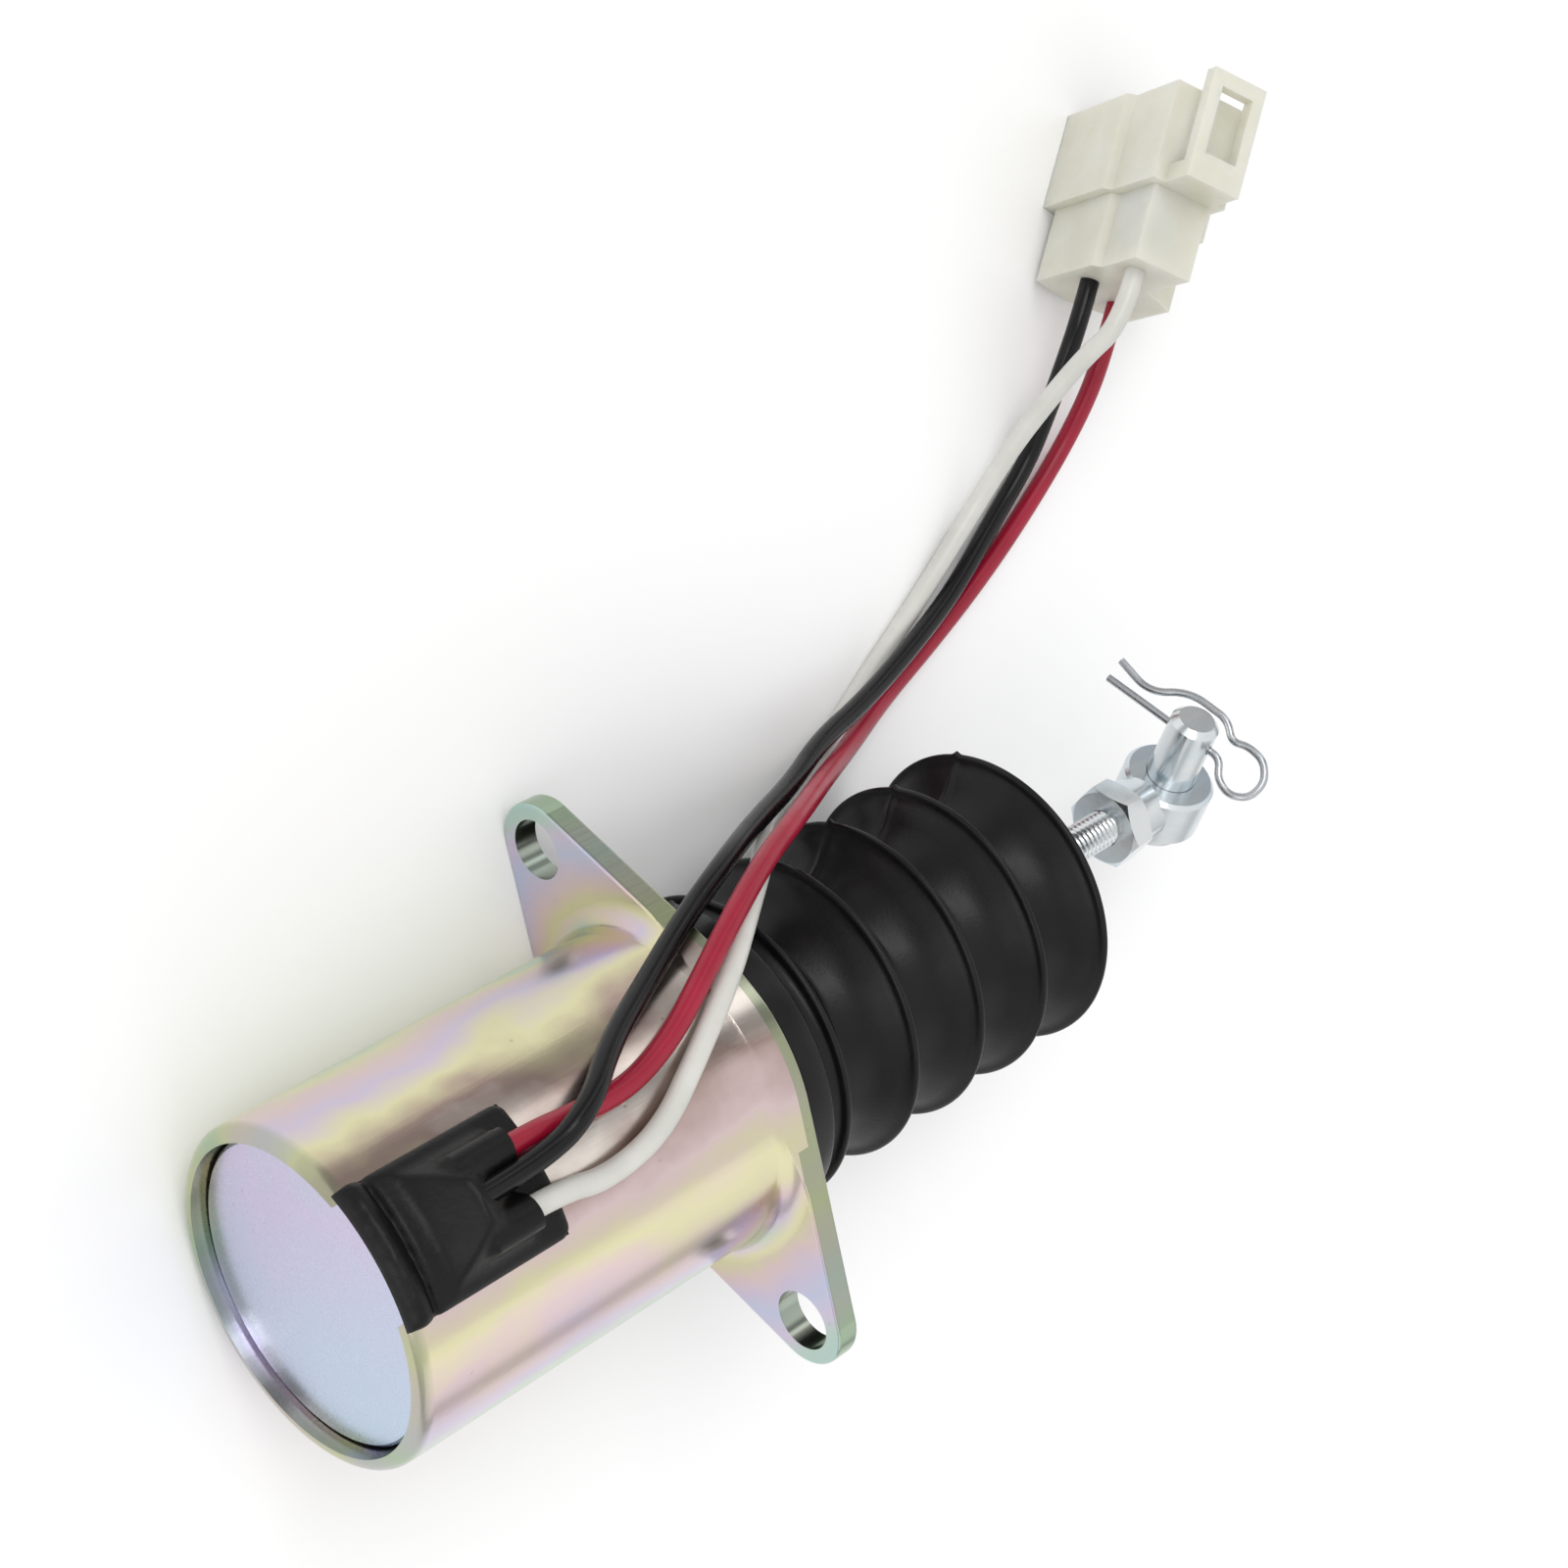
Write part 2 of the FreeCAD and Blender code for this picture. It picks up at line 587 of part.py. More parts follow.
def make_jam_nut():
    """A hexagon nut with both rims chamfered."""
    body = new_body("jam_nut")
    outline = new_sketch(body, "hexagon", "YZ_Plane")
    corner = "nut_flats / sqrt(3)"
    polygon(outline, [
        (f"{corner} * cos({60 * step})", f"{corner} * sin({60 * step})") for step in range(6)])
    ring(outline, "rod_radius + thread_fit")
    padded(body, "blank", outline, "nut_thick")
    DOC.recompute()
    outside = "nut_flats"
    slope = "(nut_flats - nut_flats / 2) * tan(30)"
    for name, face, inward in (("near_rim", "0", "1"), ("far_rim", "nut_thick", "-1")):
        sketch = new_sketch(body, f"{name}_profile")
        polygon(sketch, [
            (face, "nut_flats * 0.5"), (face, outside), (f"{face} + {inward} * {slope}", outside)])
        groove = body.newObject("PartDesign::Groove", name)
        groove.Profile = sketch
        groove.ReferenceAxis = (sketch, ["H_Axis"])
        groove.Angle = 360
    place(body, "nut_start", turn="nut_turn")


def make_rod_end():
    """The eye that takes the linkage pin, on a round shank."""
    body = new_body("rod_end")
    shank_start = "nut_start + nut_thick - eye_x"
    turned(body, "shank", [
        (shank_start, "0"), (shank_start, "shank_radius - edge_break"),
        (f"{shank_start} + edge_break", "shank_radius"), ("0", "shank_radius"), ("0", "0")])
    barrel = new_sketch(body, "eye_circle", "XZ_Plane")
    ring(barrel, "eye_radius")
    padded(body, "eye", barrel, "eye_thick", centred=True)
    DOC.recompute()
    half = size("eye_thick / 2")
    flat_start = "-pin_head_radius - pin_float"
    sides = new_sketch(body, "eye_face_trim", "XY_Plane")
    rectangle(sides, (flat_start, "eye_thick / 2"), ("eye_radius * 2", "eye_radius * 2"))
    rectangle(sides, (flat_start, "-eye_radius * 2"), ("eye_radius * 2", "-eye_thick / 2"))
    cut(body, "eye_faces", sides, "eye_radius * 3", centred=True)
    bore = new_sketch(body, "pin_bore_circle", "XZ_Plane")
    ring(bore, "pin_radius + pin_fit")
    cut(body, "pin_bore", bore, "eye_thick * 2", centred=True)
    thread = new_sketch(body, "thread_bore_circle", "YZ_Plane", lift=shank_start)
    ring(thread, "rod_radius + thread_fit")
    cut(body, "thread_bore", thread, "rod_end_x - nut_start - nut_thick + thread_fit * 4",
        reverse=True)
    dress(body, "PartDesign::Chamfer", "eye_rims", "eye_break", lambda edge: (
        edge.Curve.TypeId == "Part::GeomCircle" and near(edge.Curve.Radius, size("eye_radius"))
        and near(abs(edge.BoundBox.YMin), half) and near(edge.BoundBox.YLength, 0.0)))
    place(body, "eye_x", turn="pin_turn")


def make_linkage_pin():
    """A headed pin across the eye, drilled near its tip for the clip."""
    body = new_body("linkage_pin")
    head = "-eye_thick / 2 - pin_float"
    tip = "eye_thick / 2 + pin_reach"
    sketch = new_sketch(body, "pin_profile")
    polygon(sketch, [
        ("0", f"{head} - pin_head_thick"), ("pin_head_radius - edge_break", f"{head} - pin_head_thick"),
        ("pin_head_radius", f"{head} - pin_head_thick + edge_break"), ("pin_head_radius", head),
        ("pin_radius", head), ("pin_radius", f"{tip} - pin_break"),
        ("pin_radius - pin_break", tip), ("0", tip)])
    shaft = body.newObject("PartDesign::Revolution", "shaft")
    shaft.Profile = sketch
    shaft.ReferenceAxis = (sketch, ["V_Axis"])
    shaft.Angle = 360
    DOC.recompute()
    hole = new_sketch(body, "clip_hole_circle", "XY_Plane")
    ring(hole, "clip_wire / 2 + clip_fit", "0", f"{tip} - clip_below_tip")
    cut(body, "clip_hole", hole, "pin_radius * 4", centred=True)
    place_on_pin(body)


# Wires and other round stock

def rounded_path(points, radii):
    """A wire of straight runs joined by tangent arcs, one radius for each inner point."""
    edges = []
    here = points[0]
    for before, corner, after, radius in zip(points, points[1:], points[2:], radii):
        inward = (corner - before).normalize()
        onward = (after - corner).normalize()
        turn = inward.getAngle(onward)
        setback = radius * math.tan(turn / 2)
        start = corner - inward * setback
        end = corner + onward * setback
        middle_way = (onward - inward).normalize()
        crown = corner + middle_way * (radius / math.cos(turn / 2) - radius)
        edges.append(Part.LineSegment(here, start).toShape())
        edges.append(Part.Arc(start, crown, end).toShape())
        here = end
    edges.append(Part.LineSegment(here, points[-1]).toShape())
    return Part.Wire(edges)


def natural_radii(points):
    """The largest tangent arcs that each pair of runs allows, with a little run left between."""
    radii = []
    for before, corner, after in zip(points, points[1:], points[2:]):
        shorter = min((corner - before).Length, (after - corner).Length)
        turn = (corner - before).getAngle(after - corner)
        radii.append(0.45 * shorter / math.tan(turn / 2))
    return radii


def tube_along(path, radius):
    """A round bar along a path, checked against its section times its length."""
    start = path.Edges[0].valueAt(path.Edges[0].FirstParameter)
    heading = path.Edges[0].tangentAt(path.Edges[0].FirstParameter)
    section = Part.Wire([Part.Circle(start, heading, radius).toShape()])
    bar = path.makePipeShell([section], True, False)
    wanted = math.pi * radius ** 2 * path.Length
    if abs(bar.Volume - wanted) > 0.01 * wanted:
        raise RuntimeError(f"bar volume {bar.Volume:.1f} is not {wanted:.1f}")
    return bar


def plain_feature(name, shape, placement=None):
    """A document object that holds a shape made directly."""
    feature = DOC.addObject("Part::Feature", name)
    feature.Label = name
    feature.Shape = shape
    feature.Placement = placement or Placement()
    PIECES.append(feature)
    return feature


# Boot

def ridge_places():
    """Positions of the five ridges along the axis, as expressions."""
    return [f"first_ridge + {step} * ridge_pitch" for step in range(RIDGES)]


def boot_crest(rise="0"):
    """The boot's outer line from the cuff to the neck, as (along, radius) pairs."""
    line = [("0", f"cuff_radius + {rise}"), ("cuff_length", f"cuff_radius + {rise}"),
            ("cuff_length + cuff_taper", f"valley_radius + cuff_root + {rise}")]
    places = ridge_places()
    for step, middle in enumerate(places):
        line.append((f"{middle} - ridge_width / 2", f"ridge_radius + {rise}"))
        line.append((f"{middle} + ridge_width / 2", f"ridge_radius + {rise}"))
        if step < len(places) - 1:
            valley = f"{middle} + ridge_pitch * 0.42"
            line.append((f"{valley} - valley_width / 2", f"valley_radius + {rise}"))
            line.append((f"{valley} + valley_width / 2", f"valley_radius + {rise}"))
    line.append(("neck_start", f"neck_radius + {rise}"))
    line.append(("neck_start + neck_length", f"neck_radius + {rise}"))
    return line


def make_boot():
    """The rubber bellows: a cuff on the collar, five thin ridges and a neck on the rod."""
    body = new_body("boot")
    inner = [("neck_start + neck_length", "rod_radius + winding_gap"),
             ("neck_start - boot_drop * 0.4", "rod_radius + winding_gap")]
    places = ridge_places()
    for step in range(len(places) - 1, -1, -1):
        middle = places[step]
        inner.append((middle, "ridge_radius - boot_drop"))
        if step > 0:
            valley = f"{places[step - 1]} + ridge_pitch * 0.42"
            inner.append((f"{valley} + valley_width / 2", "valley_radius - boot_drop * 0.8"))
            inner.append((f"{valley} - valley_width / 2", "valley_radius - boot_drop * 0.8"))
    inner += [("collar_length + collar_clear", "collar_radius - collar_groove * 0.6"),
              ("collar_length + collar_clear", "collar_radius + winding_gap"),
              ("0", "collar_radius + winding_gap")]
    turned(body, "bellows", boot_crest() + inner)
    DOC.recompute()
    for name, tilt in (("rib", "rib_angle"), ("rib_opposite", "rib_angle + 180")):
        crest = boot_crest("rib_height")
        sketch = new_sketch(body, f"{name}_outline", tilt=tilt)
        root = [(x, r.replace(" + rib_height", " - boot_drop * 0.5")) for x, r in reversed(crest)]
        polygon(sketch, crest + root)
        padded(body, name, sketch, "rib_width", centred=True)
        DOC.recompute()
    place(body, "winding_gap")


# Gland

def make_gland():
    """The rubber gland: a saddle on the can, a neck in the notch and a peaked boss for the wires."""
    body = new_body("gland")
    foot = "can_radius + winding_gap"
    outer = "-can_length - gland_start"
    roll = "gland_roll"
    turned(body, "saddle", [
        (outer, foot), (outer, f"gland_top - {roll} * 0.2"),
        (f"{outer} + {roll} * 0.5", f"gland_top + {roll} * 0.25"),
        (f"{outer} + {roll} * 1.5", f"gland_top + {roll} * 0.25"),
        (f"{outer} + {roll} * 2", f"gland_top - {roll} * 0.2"),
        (f"{outer} + {roll} * 2.3", f"gland_top - {roll} * 0.4"),
        (f"{outer} + {roll} * 2.7", "gland_top"),
        (f"{outer} + gland_length - edge_break * 2", "gland_top"),
        (f"{outer} + gland_length", "gland_top - edge_break * 2"),
        (f"{outer} + gland_length", foot)], angle="gland_angle", role="XZ_Plane")
    DOC.recompute()
    root = "can_radius - can_wall - disc_gap + winding_gap"
    neck_start = "winding_gap * 4 - can_length"
    neck_end = "notch_length - can_length - winding_gap * 2"
    neck_top = "can_radius + winding_gap * 4"
    turned(body, "neck", [
        (neck_start, root), (neck_start, neck_top), (neck_end, neck_top), (neck_end, root)],
        angle="2 * asin((notch_width / 2 - winding_gap * 2) / can_radius)", role="XZ_Plane")
    DOC.recompute()
    base = new_sketch(body, "boss_base", "XY_Plane", lift=foot)
    rectangle(base, ("boss_start - can_length", "-boss_width / 2"),
              ("boss_start + boss_length - can_length", "boss_width / 2"))
    peak = new_sketch(body, "boss_peak", "XY_Plane", lift="boss_top")
    rectangle(peak, ("peak_start - can_length", "-peak_width / 2"),
              ("peak_start + peak_length - can_length", "peak_width / 2"))
    boss = body.newObject("PartDesign::AdditiveLoft", "boss")
    boss.Profile = base
    boss.Sections = [peak]
    boss.Ruled = True
    DOC.recompute()
    dress(body, "PartDesign::Fillet", "boss_edges", "edge_break * 2", lambda edge: (
        edge.Curve.TypeId == "Part::GeomLine" and edge.BoundBox.ZMax > size("boss_top") - 0.01
        or edge.Curve.TypeId == "Part::GeomLine" and edge.BoundBox.ZLength > 1.0
        and edge.BoundBox.ZMin > size("gland_top") - 0.8))
    DOC.recompute()
    for name, (start, across, up) in EXITS.items():
        sketch = new_sketch(body, f"exit_{name}_circle", "YZ_Plane", lift=start)
        ring(sketch, "wire_diameter / 2", across, up)
        cut(body, f"exit_{name}", sketch, "boss_length", reverse=True)
    place(body, turn=ROLL)


# Connector

def side(expression):
    """A distance to the right of the connector's left wall, as its own Y value."""
    return f"-({expression})"


def section(sketch, grow="0", taper=False):
    """The connector's outline, grown outward: a tall column, a low one beside it, a keel below."""
    full = "block_width + side_width"
    polygon(sketch, [
        (f"0 + ({grow})", f"0 - ({grow}) * 0.7"),
        (side("foot_width"), f"-foot_drop - ({grow}) * 1.05"),
        (side(f"{full} + ({grow})"), f"0 - ({grow})"),
        (side(f"{full} + ({grow})"), f"side_height + ({grow})"),
        (side(f"block_width + ({grow})"), f"side_height + 3 + ({grow})"),
        (side(f"block_width + ({grow})"), f"block_height + ({grow})"),
        (side(f"1 - ({grow})"), f"block_height + ({grow})"),
        (side(f"1 - ({grow})"), "block_height * 0.64"),
        (f"0 + ({grow})", "block_height * 0.6")])


# Cavity centre across and up for each wire.
CAVITIES = {
    "black": ("block_width * 0.36", "block_height * 0.36"),
    "white": ("block_width * 0.42", "block_height * 0.8"),
    "red": ("block_width + side_width * 0.15", "side_height * 0.42"),
}


def make_connector_housing():
    """The nylon shell: a rear block with three cavities, a hood round the tabs and a latch loop."""
    body = new_body("connector_housing")
    rear = new_sketch(body, "rear_outline", "YZ_Plane")
    section(rear)
    padded(body, "rear_block", rear, "block_length + 1")
    hood = new_sketch(body, "hood_outline", "YZ_Plane", lift="block_length")
    section(hood, "hood_step")
    padded(body, "hood", hood, "hood_length")
    DOC.recompute()
    mouth = new_sketch(body, "mouth_outline", "YZ_Plane", lift="block_length + hood_wall * 1.5")
    section(mouth, "hood_step - hood_wall")
    cut(body, "mouth", mouth, "hood_length", reverse=True)
    for name, (across, up) in CAVITIES.items():
        cell = new_sketch(body, f"cavity_{name}", "YZ_Plane", lift="hood_wall * 1.5")
        rectangle(cell, (side(f"{across} + cavity_height / 2"), f"{up} - cavity_width / 2"),
                  (side(f"{across} - cavity_height / 2"), f"{up} + cavity_width / 2"))
        cut(body, f"cavity_{name}_cut", cell, "block_length + hood_wall", reverse=True)
        hole = new_sketch(body, f"entry_{name}", "YZ_Plane")
        ring(hole, "conductor / 2 + clip_fit", side(across), up)
        cut(body, f"entry_{name}_cut", hole, "hood_wall * 2", reverse=True)
    top = "block_height + hood_step"
    post = new_sketch(body, "latch_post", "YZ_Plane", lift="block_length")
    rectangle(post, (side("block_width"), f"{top} - hood_wall / 2"),
              (side("hood_step"), f"{top} + latch_lift + latch_thick"))
    padded(body, "latch_root", post, "latch_thick * 1.3")
    loop = new_sketch(body, "latch_outline", "XY_Plane", lift=f"{top} + latch_lift")
    rectangle(loop, ("block_length", side("block_width")),
              ("block_length + hood_length + latch_reach", side("hood_step")))
    rectangle(loop, ("block_length + latch_thick * 2", side("block_width - latch_rim")),
              ("block_length + hood_length + latch_reach - latch_rim * 1.2",
               side("hood_step + latch_rim")))
    padded(body, "latch_loop", loop, "latch_thick")
    place_on_plug(body)
    return body


def make_terminal(name):
    """A blade in its cavity, with the bare conductor that reaches back to the wire."""
    across, up = CAVITIES[name]
    body = new_body(f"terminal_{name}")
    core = new_sketch(body, "conductor_circle", "YZ_Plane")
    ring(core, "conductor / 2", side(across), up)
    padded(body, "conductor_stub", core, "block_length * 0.5")
    barrel = new_sketch(body, "barrel_outline", "YZ_Plane", lift="hood_wall * 2")
    ring(barrel, "conductor * 0.9", side(across), up)
    padded(body, "barrel", barrel, "block_length * 0.45")
    blade = new_sketch(body, "blade_outline", "YZ_Plane", lift="block_length * 0.6")
    rectangle(blade, (side(f"{across} + tab_thick / 2"), f"{up} - tab_width / 2"),
              (side(f"{across} - tab_thick / 2"), f"{up} + tab_width / 2"))
    padded(body, "blade", blade, "block_length * 0.4 + tab_reach")
    place_on_plug(body)


# Hairpin clip and lead wires

# Clip path in its own plane: along the leg, and away from the leg.
CLIP_PATH = [
    (-13.0, 0.0), (4.9, 0.0), (6.2, -2.2), (8.6, -3.1), (10.9, -1.9), (11.3, 0.8),
    (9.5, 3.0), (6.8, 3.3), (4.8, 2.6), (2.6, 4.5), (-3.4, 4.6), (-7.6, 1.5), (-13.0, 2.7),
]


def make_hairpin_clip():
    """The sprung clip: a straight leg through the pin, a loop, and a wavy leg round the pin."""
    lean = math.radians(size("clip_lean"))
    level = size("eye_thick / 2 + pin_reach - clip_below_tip")
    points = [Vector(away * math.cos(lean), level + away * math.sin(lean), along)
              for along, away in CLIP_PATH]
    bar = tube_along(rounded_path(points, natural_radii(points)), size("clip_wire / 2"))
    feature = plain_feature("hairpin_clip", bar)
    place_on_pin(feature)


# Where each wire leaves the gland: along the can, across, and up, in the gland's own frame.
FIRST_EXIT = "peak_start + peak_length - can_length"
EXITS = {
    "black": (FIRST_EXIT, "exit_shift", "boss_top - exit_drop"),
    "red": (f"{FIRST_EXIT} + exit_step", "exit_spread", "boss_top - exit_drop - exit_lower"),
    "white": (f"{FIRST_EXIT} + exit_step", "-exit_spread", "boss_top - exit_drop - exit_lower"),
}


# Each route over the can: share of the way from the flange to its hole, then across and up.
CAN_ROUTES = {
    "black": [(0.673, 13.7, 20.5), (0.506, 16.2, 16.0), (0.294, 18.0, 12.0), (0.059, 20.5, 8.0)],
    "red": [(0.711, 11.8, 16.9), (0.527, 11.5, 17.3), (0.343, 13.5, 16.3), (0.172, 16.7, 14.5)],
    "white": [(0.701, 5.4, 20.0), (0.502, 6.7, 19.9), (0.306, 11.0, 17.9), (0.074, 15.6, 14.6)],
}
# The rest of each route to the connector, in the part's own frame.
ROUTES = {
    "black": [
        (7.0, 22.9, 5.2), (17.3, 22.7, -0.6), (29.0, 22.4, -6.2), (38.3, 23.9, -10.2),
        (48.3, 24.7, -12.6), (59.8, 27.2, -14.9), (71.3, 31.0, -16.6), (82.6, 37.2, -17.95),
        (89.6, 42.5, -17.2), (92.2, 48.5, -14.6), (93.4, 54.2, -11.6)],
    "red": [
        (1.0, 20.4, 12.3), (10.3, 22.4, 8.2), (20.5, 22.9, 3.4), (32.0, 21.7, -4.4),
        (44.6, 20.7, -12.2), (56.0, 22.4, -16.8), (67.5, 26.0, -17.95), (79.0, 31.2, -17.95),
        (89.5, 37.0, -17.95), (97.2, 43.0, -16.9), (99.8, 49.0, -13.6)],
    "white": [
        (5.5, 18.8, 9.6), (14.5, 20.5, 3.3), (24.0, 19.3, -7.2), (34.5, 18.0, -13.2),
        (46.0, 20.6, -17.2), (56.5, 26.2, -17.95), (66.5, 31.7, -17.95), (77.0, 39.2, -17.0),
        (82.6, 46.0, -13.6), (85.4, 51.3, -8.9), (88.8, 56.6, -3.9)],
}
# Straight lead out of the gland and into the connector, for each wire.
LEADS = {"black": (8.0, 5.5), "red": (6.0, 6.0), "white": (6.0, 7.0)}


def make_wire(name, plug):
    """One insulated wire, from its hole in the gland to the back of the connector."""
    start, across, up = (size(value) for value in EXITS[name])
    roll = Rotation(AXIS, size(ROLL))
    origin = roll.multVec(Vector(start, across, up))
    side_way, height = CAVITIES[name]
    target = plug.multVec(Vector(0, -size(side_way), size(height)))
    heading = plug.Rotation.multVec(AXIS)
    out_lead, in_lead = LEADS[name]
    points = [origin, origin + AXIS * out_lead]
    points += [Vector(share * start, y, z) for share, y, z in CAN_ROUTES[name]]
    points += [Vector(*where) for where in ROUTES[name]]
    points += [target - heading * in_lead, target]
    radii = natural_radii(points)
    path = rounded_path(points, radii)
    runs = [(there - here).Length for here, there in zip(points, points[1:])]
    print(f"wire_{name}: length {path.Length:.1f}, runs {min(runs):.1f} to {max(runs):.1f},"
          f" smallest radius {min(radii):.1f}")
    print("   points", [tuple(round(value, 2) for value in point) for point in points])
    plain_feature(f"wire_{name}", tube_along(path, size("wire_diameter / 2")))


def export():
    """Check every piece and write one file for each."""
    DOC.recompute()
    os.makedirs(PARTS_FOLDER, exist_ok=True)
    for thing in DOC.Objects:
        if "Invalid" in thing.State or "Error" in thing.State:
            raise RuntimeError(f"{thing.Label} is {thing.State}")
    for piece in PIECES:
        shape = piece.Shape
        if shape.isNull() or not shape.isValid():
            raise RuntimeError(f"{piece.Label} has no valid shape")
        shape.exportStep(os.path.join(PARTS_FOLDER, f"{piece.Label}.step"))
        box = shape.BoundBox
        print(f"{piece.Label:20s} solids {len(shape.Solids)} volume {shape.Volume:9.1f}"
              f"  x {box.XMin:7.2f} {box.XMax:7.2f}  y {box.YMin:7.2f} {box.YMax:7.2f}"
              f"  z {box.ZMin:7.2f} {box.ZMax:7.2f}")


make_housing()
make_end_disc()
make_front_plate()
make_bobbin()
make_layer("pull_winding", "tube_radius + tube_wall + bobbin_wall + winding_gap * 2",
           "pull_radius")
make_layer("hold_winding", "pull_radius + winding_gap", "hold_radius")
make_layer("coil_wrap", "hold_radius + winding_gap", "hold_radius + winding_gap + wrap_thick")
make_guide_tube()
make_pole_piece()
make_plunger()
make_return_spring()
make_rod()
make_boot()
make_jam_nut()
make_rod_end()
make_linkage_pin()
make_hairpin_clip()
make_gland()
connector = make_connector_housing()
for colour in CAVITIES:
    make_terminal(colour)
DOC.recompute()
for colour in CAVITIES:
    make_wire(colour, connector.Placement)
export()
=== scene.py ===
"""Dresses the fuel shutoff solenoid: plated steel, moulded rubber, lead wires and a nylon plug."""

import logging
import math
from dataclasses import dataclass, field
from enum import Enum
from functools import cache

import bpy
import numpy as np
from mathutils import Matrix, Vector

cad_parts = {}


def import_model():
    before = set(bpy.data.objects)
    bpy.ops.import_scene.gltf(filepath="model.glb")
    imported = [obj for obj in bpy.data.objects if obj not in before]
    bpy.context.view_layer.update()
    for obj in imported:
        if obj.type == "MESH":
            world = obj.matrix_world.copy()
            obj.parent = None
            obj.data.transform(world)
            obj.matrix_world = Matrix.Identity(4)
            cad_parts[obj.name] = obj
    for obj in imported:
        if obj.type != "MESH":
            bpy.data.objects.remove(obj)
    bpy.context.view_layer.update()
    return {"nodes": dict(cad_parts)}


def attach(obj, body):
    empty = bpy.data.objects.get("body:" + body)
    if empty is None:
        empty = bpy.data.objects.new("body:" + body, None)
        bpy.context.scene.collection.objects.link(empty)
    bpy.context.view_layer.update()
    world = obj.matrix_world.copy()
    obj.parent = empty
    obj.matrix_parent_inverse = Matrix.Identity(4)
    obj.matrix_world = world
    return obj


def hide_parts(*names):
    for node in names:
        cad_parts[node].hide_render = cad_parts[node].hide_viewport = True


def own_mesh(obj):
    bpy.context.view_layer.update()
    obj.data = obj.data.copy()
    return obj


LOG = logging.getLogger("solenoid")
MM = 0.001

Colour = tuple[float, float, float]
Place = tuple[float, float, float]
Bulge = tuple[float, float, float]
Span = tuple[float, float]
Slant = tuple[float, float]
Line = tuple[Span, ...]
Stops = tuple[tuple[float, Colour], ...]
Array = np.ndarray
Piece = bpy.types.Object
Socket = bpy.types.NodeSocket
Outlets = bpy.types.bpy_prop_collection


class Side(Enum):
    """The three lead wires."""

    BLACK = "black"
    RED = "red"
    WHITE = "white"


# Meshes

def mesh_from_grid(name: str, grid: Array, closed: bool, sharp_deg: float) -> Piece:
    """Skins rings of points with quads.

    Vertex (i, j) joins (i+1, j), (i+1, j+1) and (i, j+1), and the second index wraps to zero.

    Args:
        name: Name of the new object.
        grid: Array of shape (rings, points, 3), in metres.
        closed: Whether the last ring joins the first.
        sharp_deg: Edges that turn by more than this stay sharp.

    Returns:
        The new object, linked to the scene.
    """
    rows, columns = grid.shape[:2]
    uu, vv = np.meshgrid(np.arange(rows if closed else rows - 1), np.arange(columns),
                         indexing="ij")
    next_u, next_v = (uu + 1) % rows, (vv + 1) % columns
    quads = np.stack([uu * columns + vv, next_u * columns + vv,
                      next_u * columns + next_v, uu * columns + next_v], axis=-1)
    return mesh_from_faces(name, grid.reshape(-1, 3), quads.reshape(-1, 4), sharp_deg)


def mesh_from_faces(name: str, points: Array, faces: Array, sharp_deg: float = 35.0) -> Piece:
    """Makes an object from points and equal-sided faces, with foreach_set.

    Args:
        name: Name of the new object.
        points: Array of shape (n, 3), in metres.
        faces: Array of shape (m, k) of vertex numbers.
        sharp_deg: Edges that turn by more than this stay sharp.

    Returns:
        The new object, linked to the scene.
    """
    count, sides = faces.shape
    mesh = bpy.data.meshes.new(name)
    mesh.vertices.add(len(points))
    mesh.vertices.foreach_set("co", points.astype(np.float32).ravel())
    mesh.loops.add(count * sides)
    mesh.loops.foreach_set("vertex_index", faces.astype(np.int32).ravel())
    mesh.polygons.add(count)
    mesh.polygons.foreach_set("loop_start", np.arange(0, count * sides, sides, dtype=np.int32))
    mesh.update(calc_edges=True)
    mesh.validate()
    mesh.shade_smooth()
    mesh.set_sharp_from_angle(angle=math.radians(sharp_deg))
    piece = bpy.data.objects.new(name, mesh)
    bpy.context.scene.collection.objects.link(piece)
    return piece


def around(x: Array, radius: Array, turn: Array) -> Array:
    """Points round the X axis: (x, r cos t, r sin t)."""
    return np.stack([x, radius * np.cos(turn), radius * np.sin(turn)], axis=-1)


def hump(x: Array, height: float, place: float, width: float) -> Array:
    """A smooth hump: the height times exp(-((x - place) / width)^2)."""
    return height * np.exp(-((x - place) / width) ** 2)


def moved(line: Line, x: float, radius: float) -> list[Span]:
    """A line's points, stepped off from a place on the axis and a radius."""
    return [(x + along, radius + out) for along, out in line]


def smooth_curve(points: Array, per_run: int) -> Array:
    """A Catmull-Rom curve through the points.

    On each run the place is half of 2b + (c - a)t + (2a - 5b + 4c - d)t^2 + (3b - a - 3c + d)t^3.

    Args:
        points: Array of shape (n, k).
        per_run: Samples on each run.

    Returns:
        The sampled curve, ending at the last point.
    """
    padded = np.vstack([2 * points[0] - points[1], points, 2 * points[-1] - points[-2]])
    a, b, c, d = (padded[k:len(padded) - 3 + k, None, :] for k in range(4))
    t = np.linspace(0.0, 1.0, per_run, endpoint=False)[None, :, None]
    curve = 0.5 * (2 * b + (c - a) * t + (2 * a - 5 * b + 4 * c - d) * t ** 2
                   + (3 * b - a - 3 * c + d) * t ** 3)
    return np.vstack([curve.reshape(-1, points.shape[1]), points[-1:]])


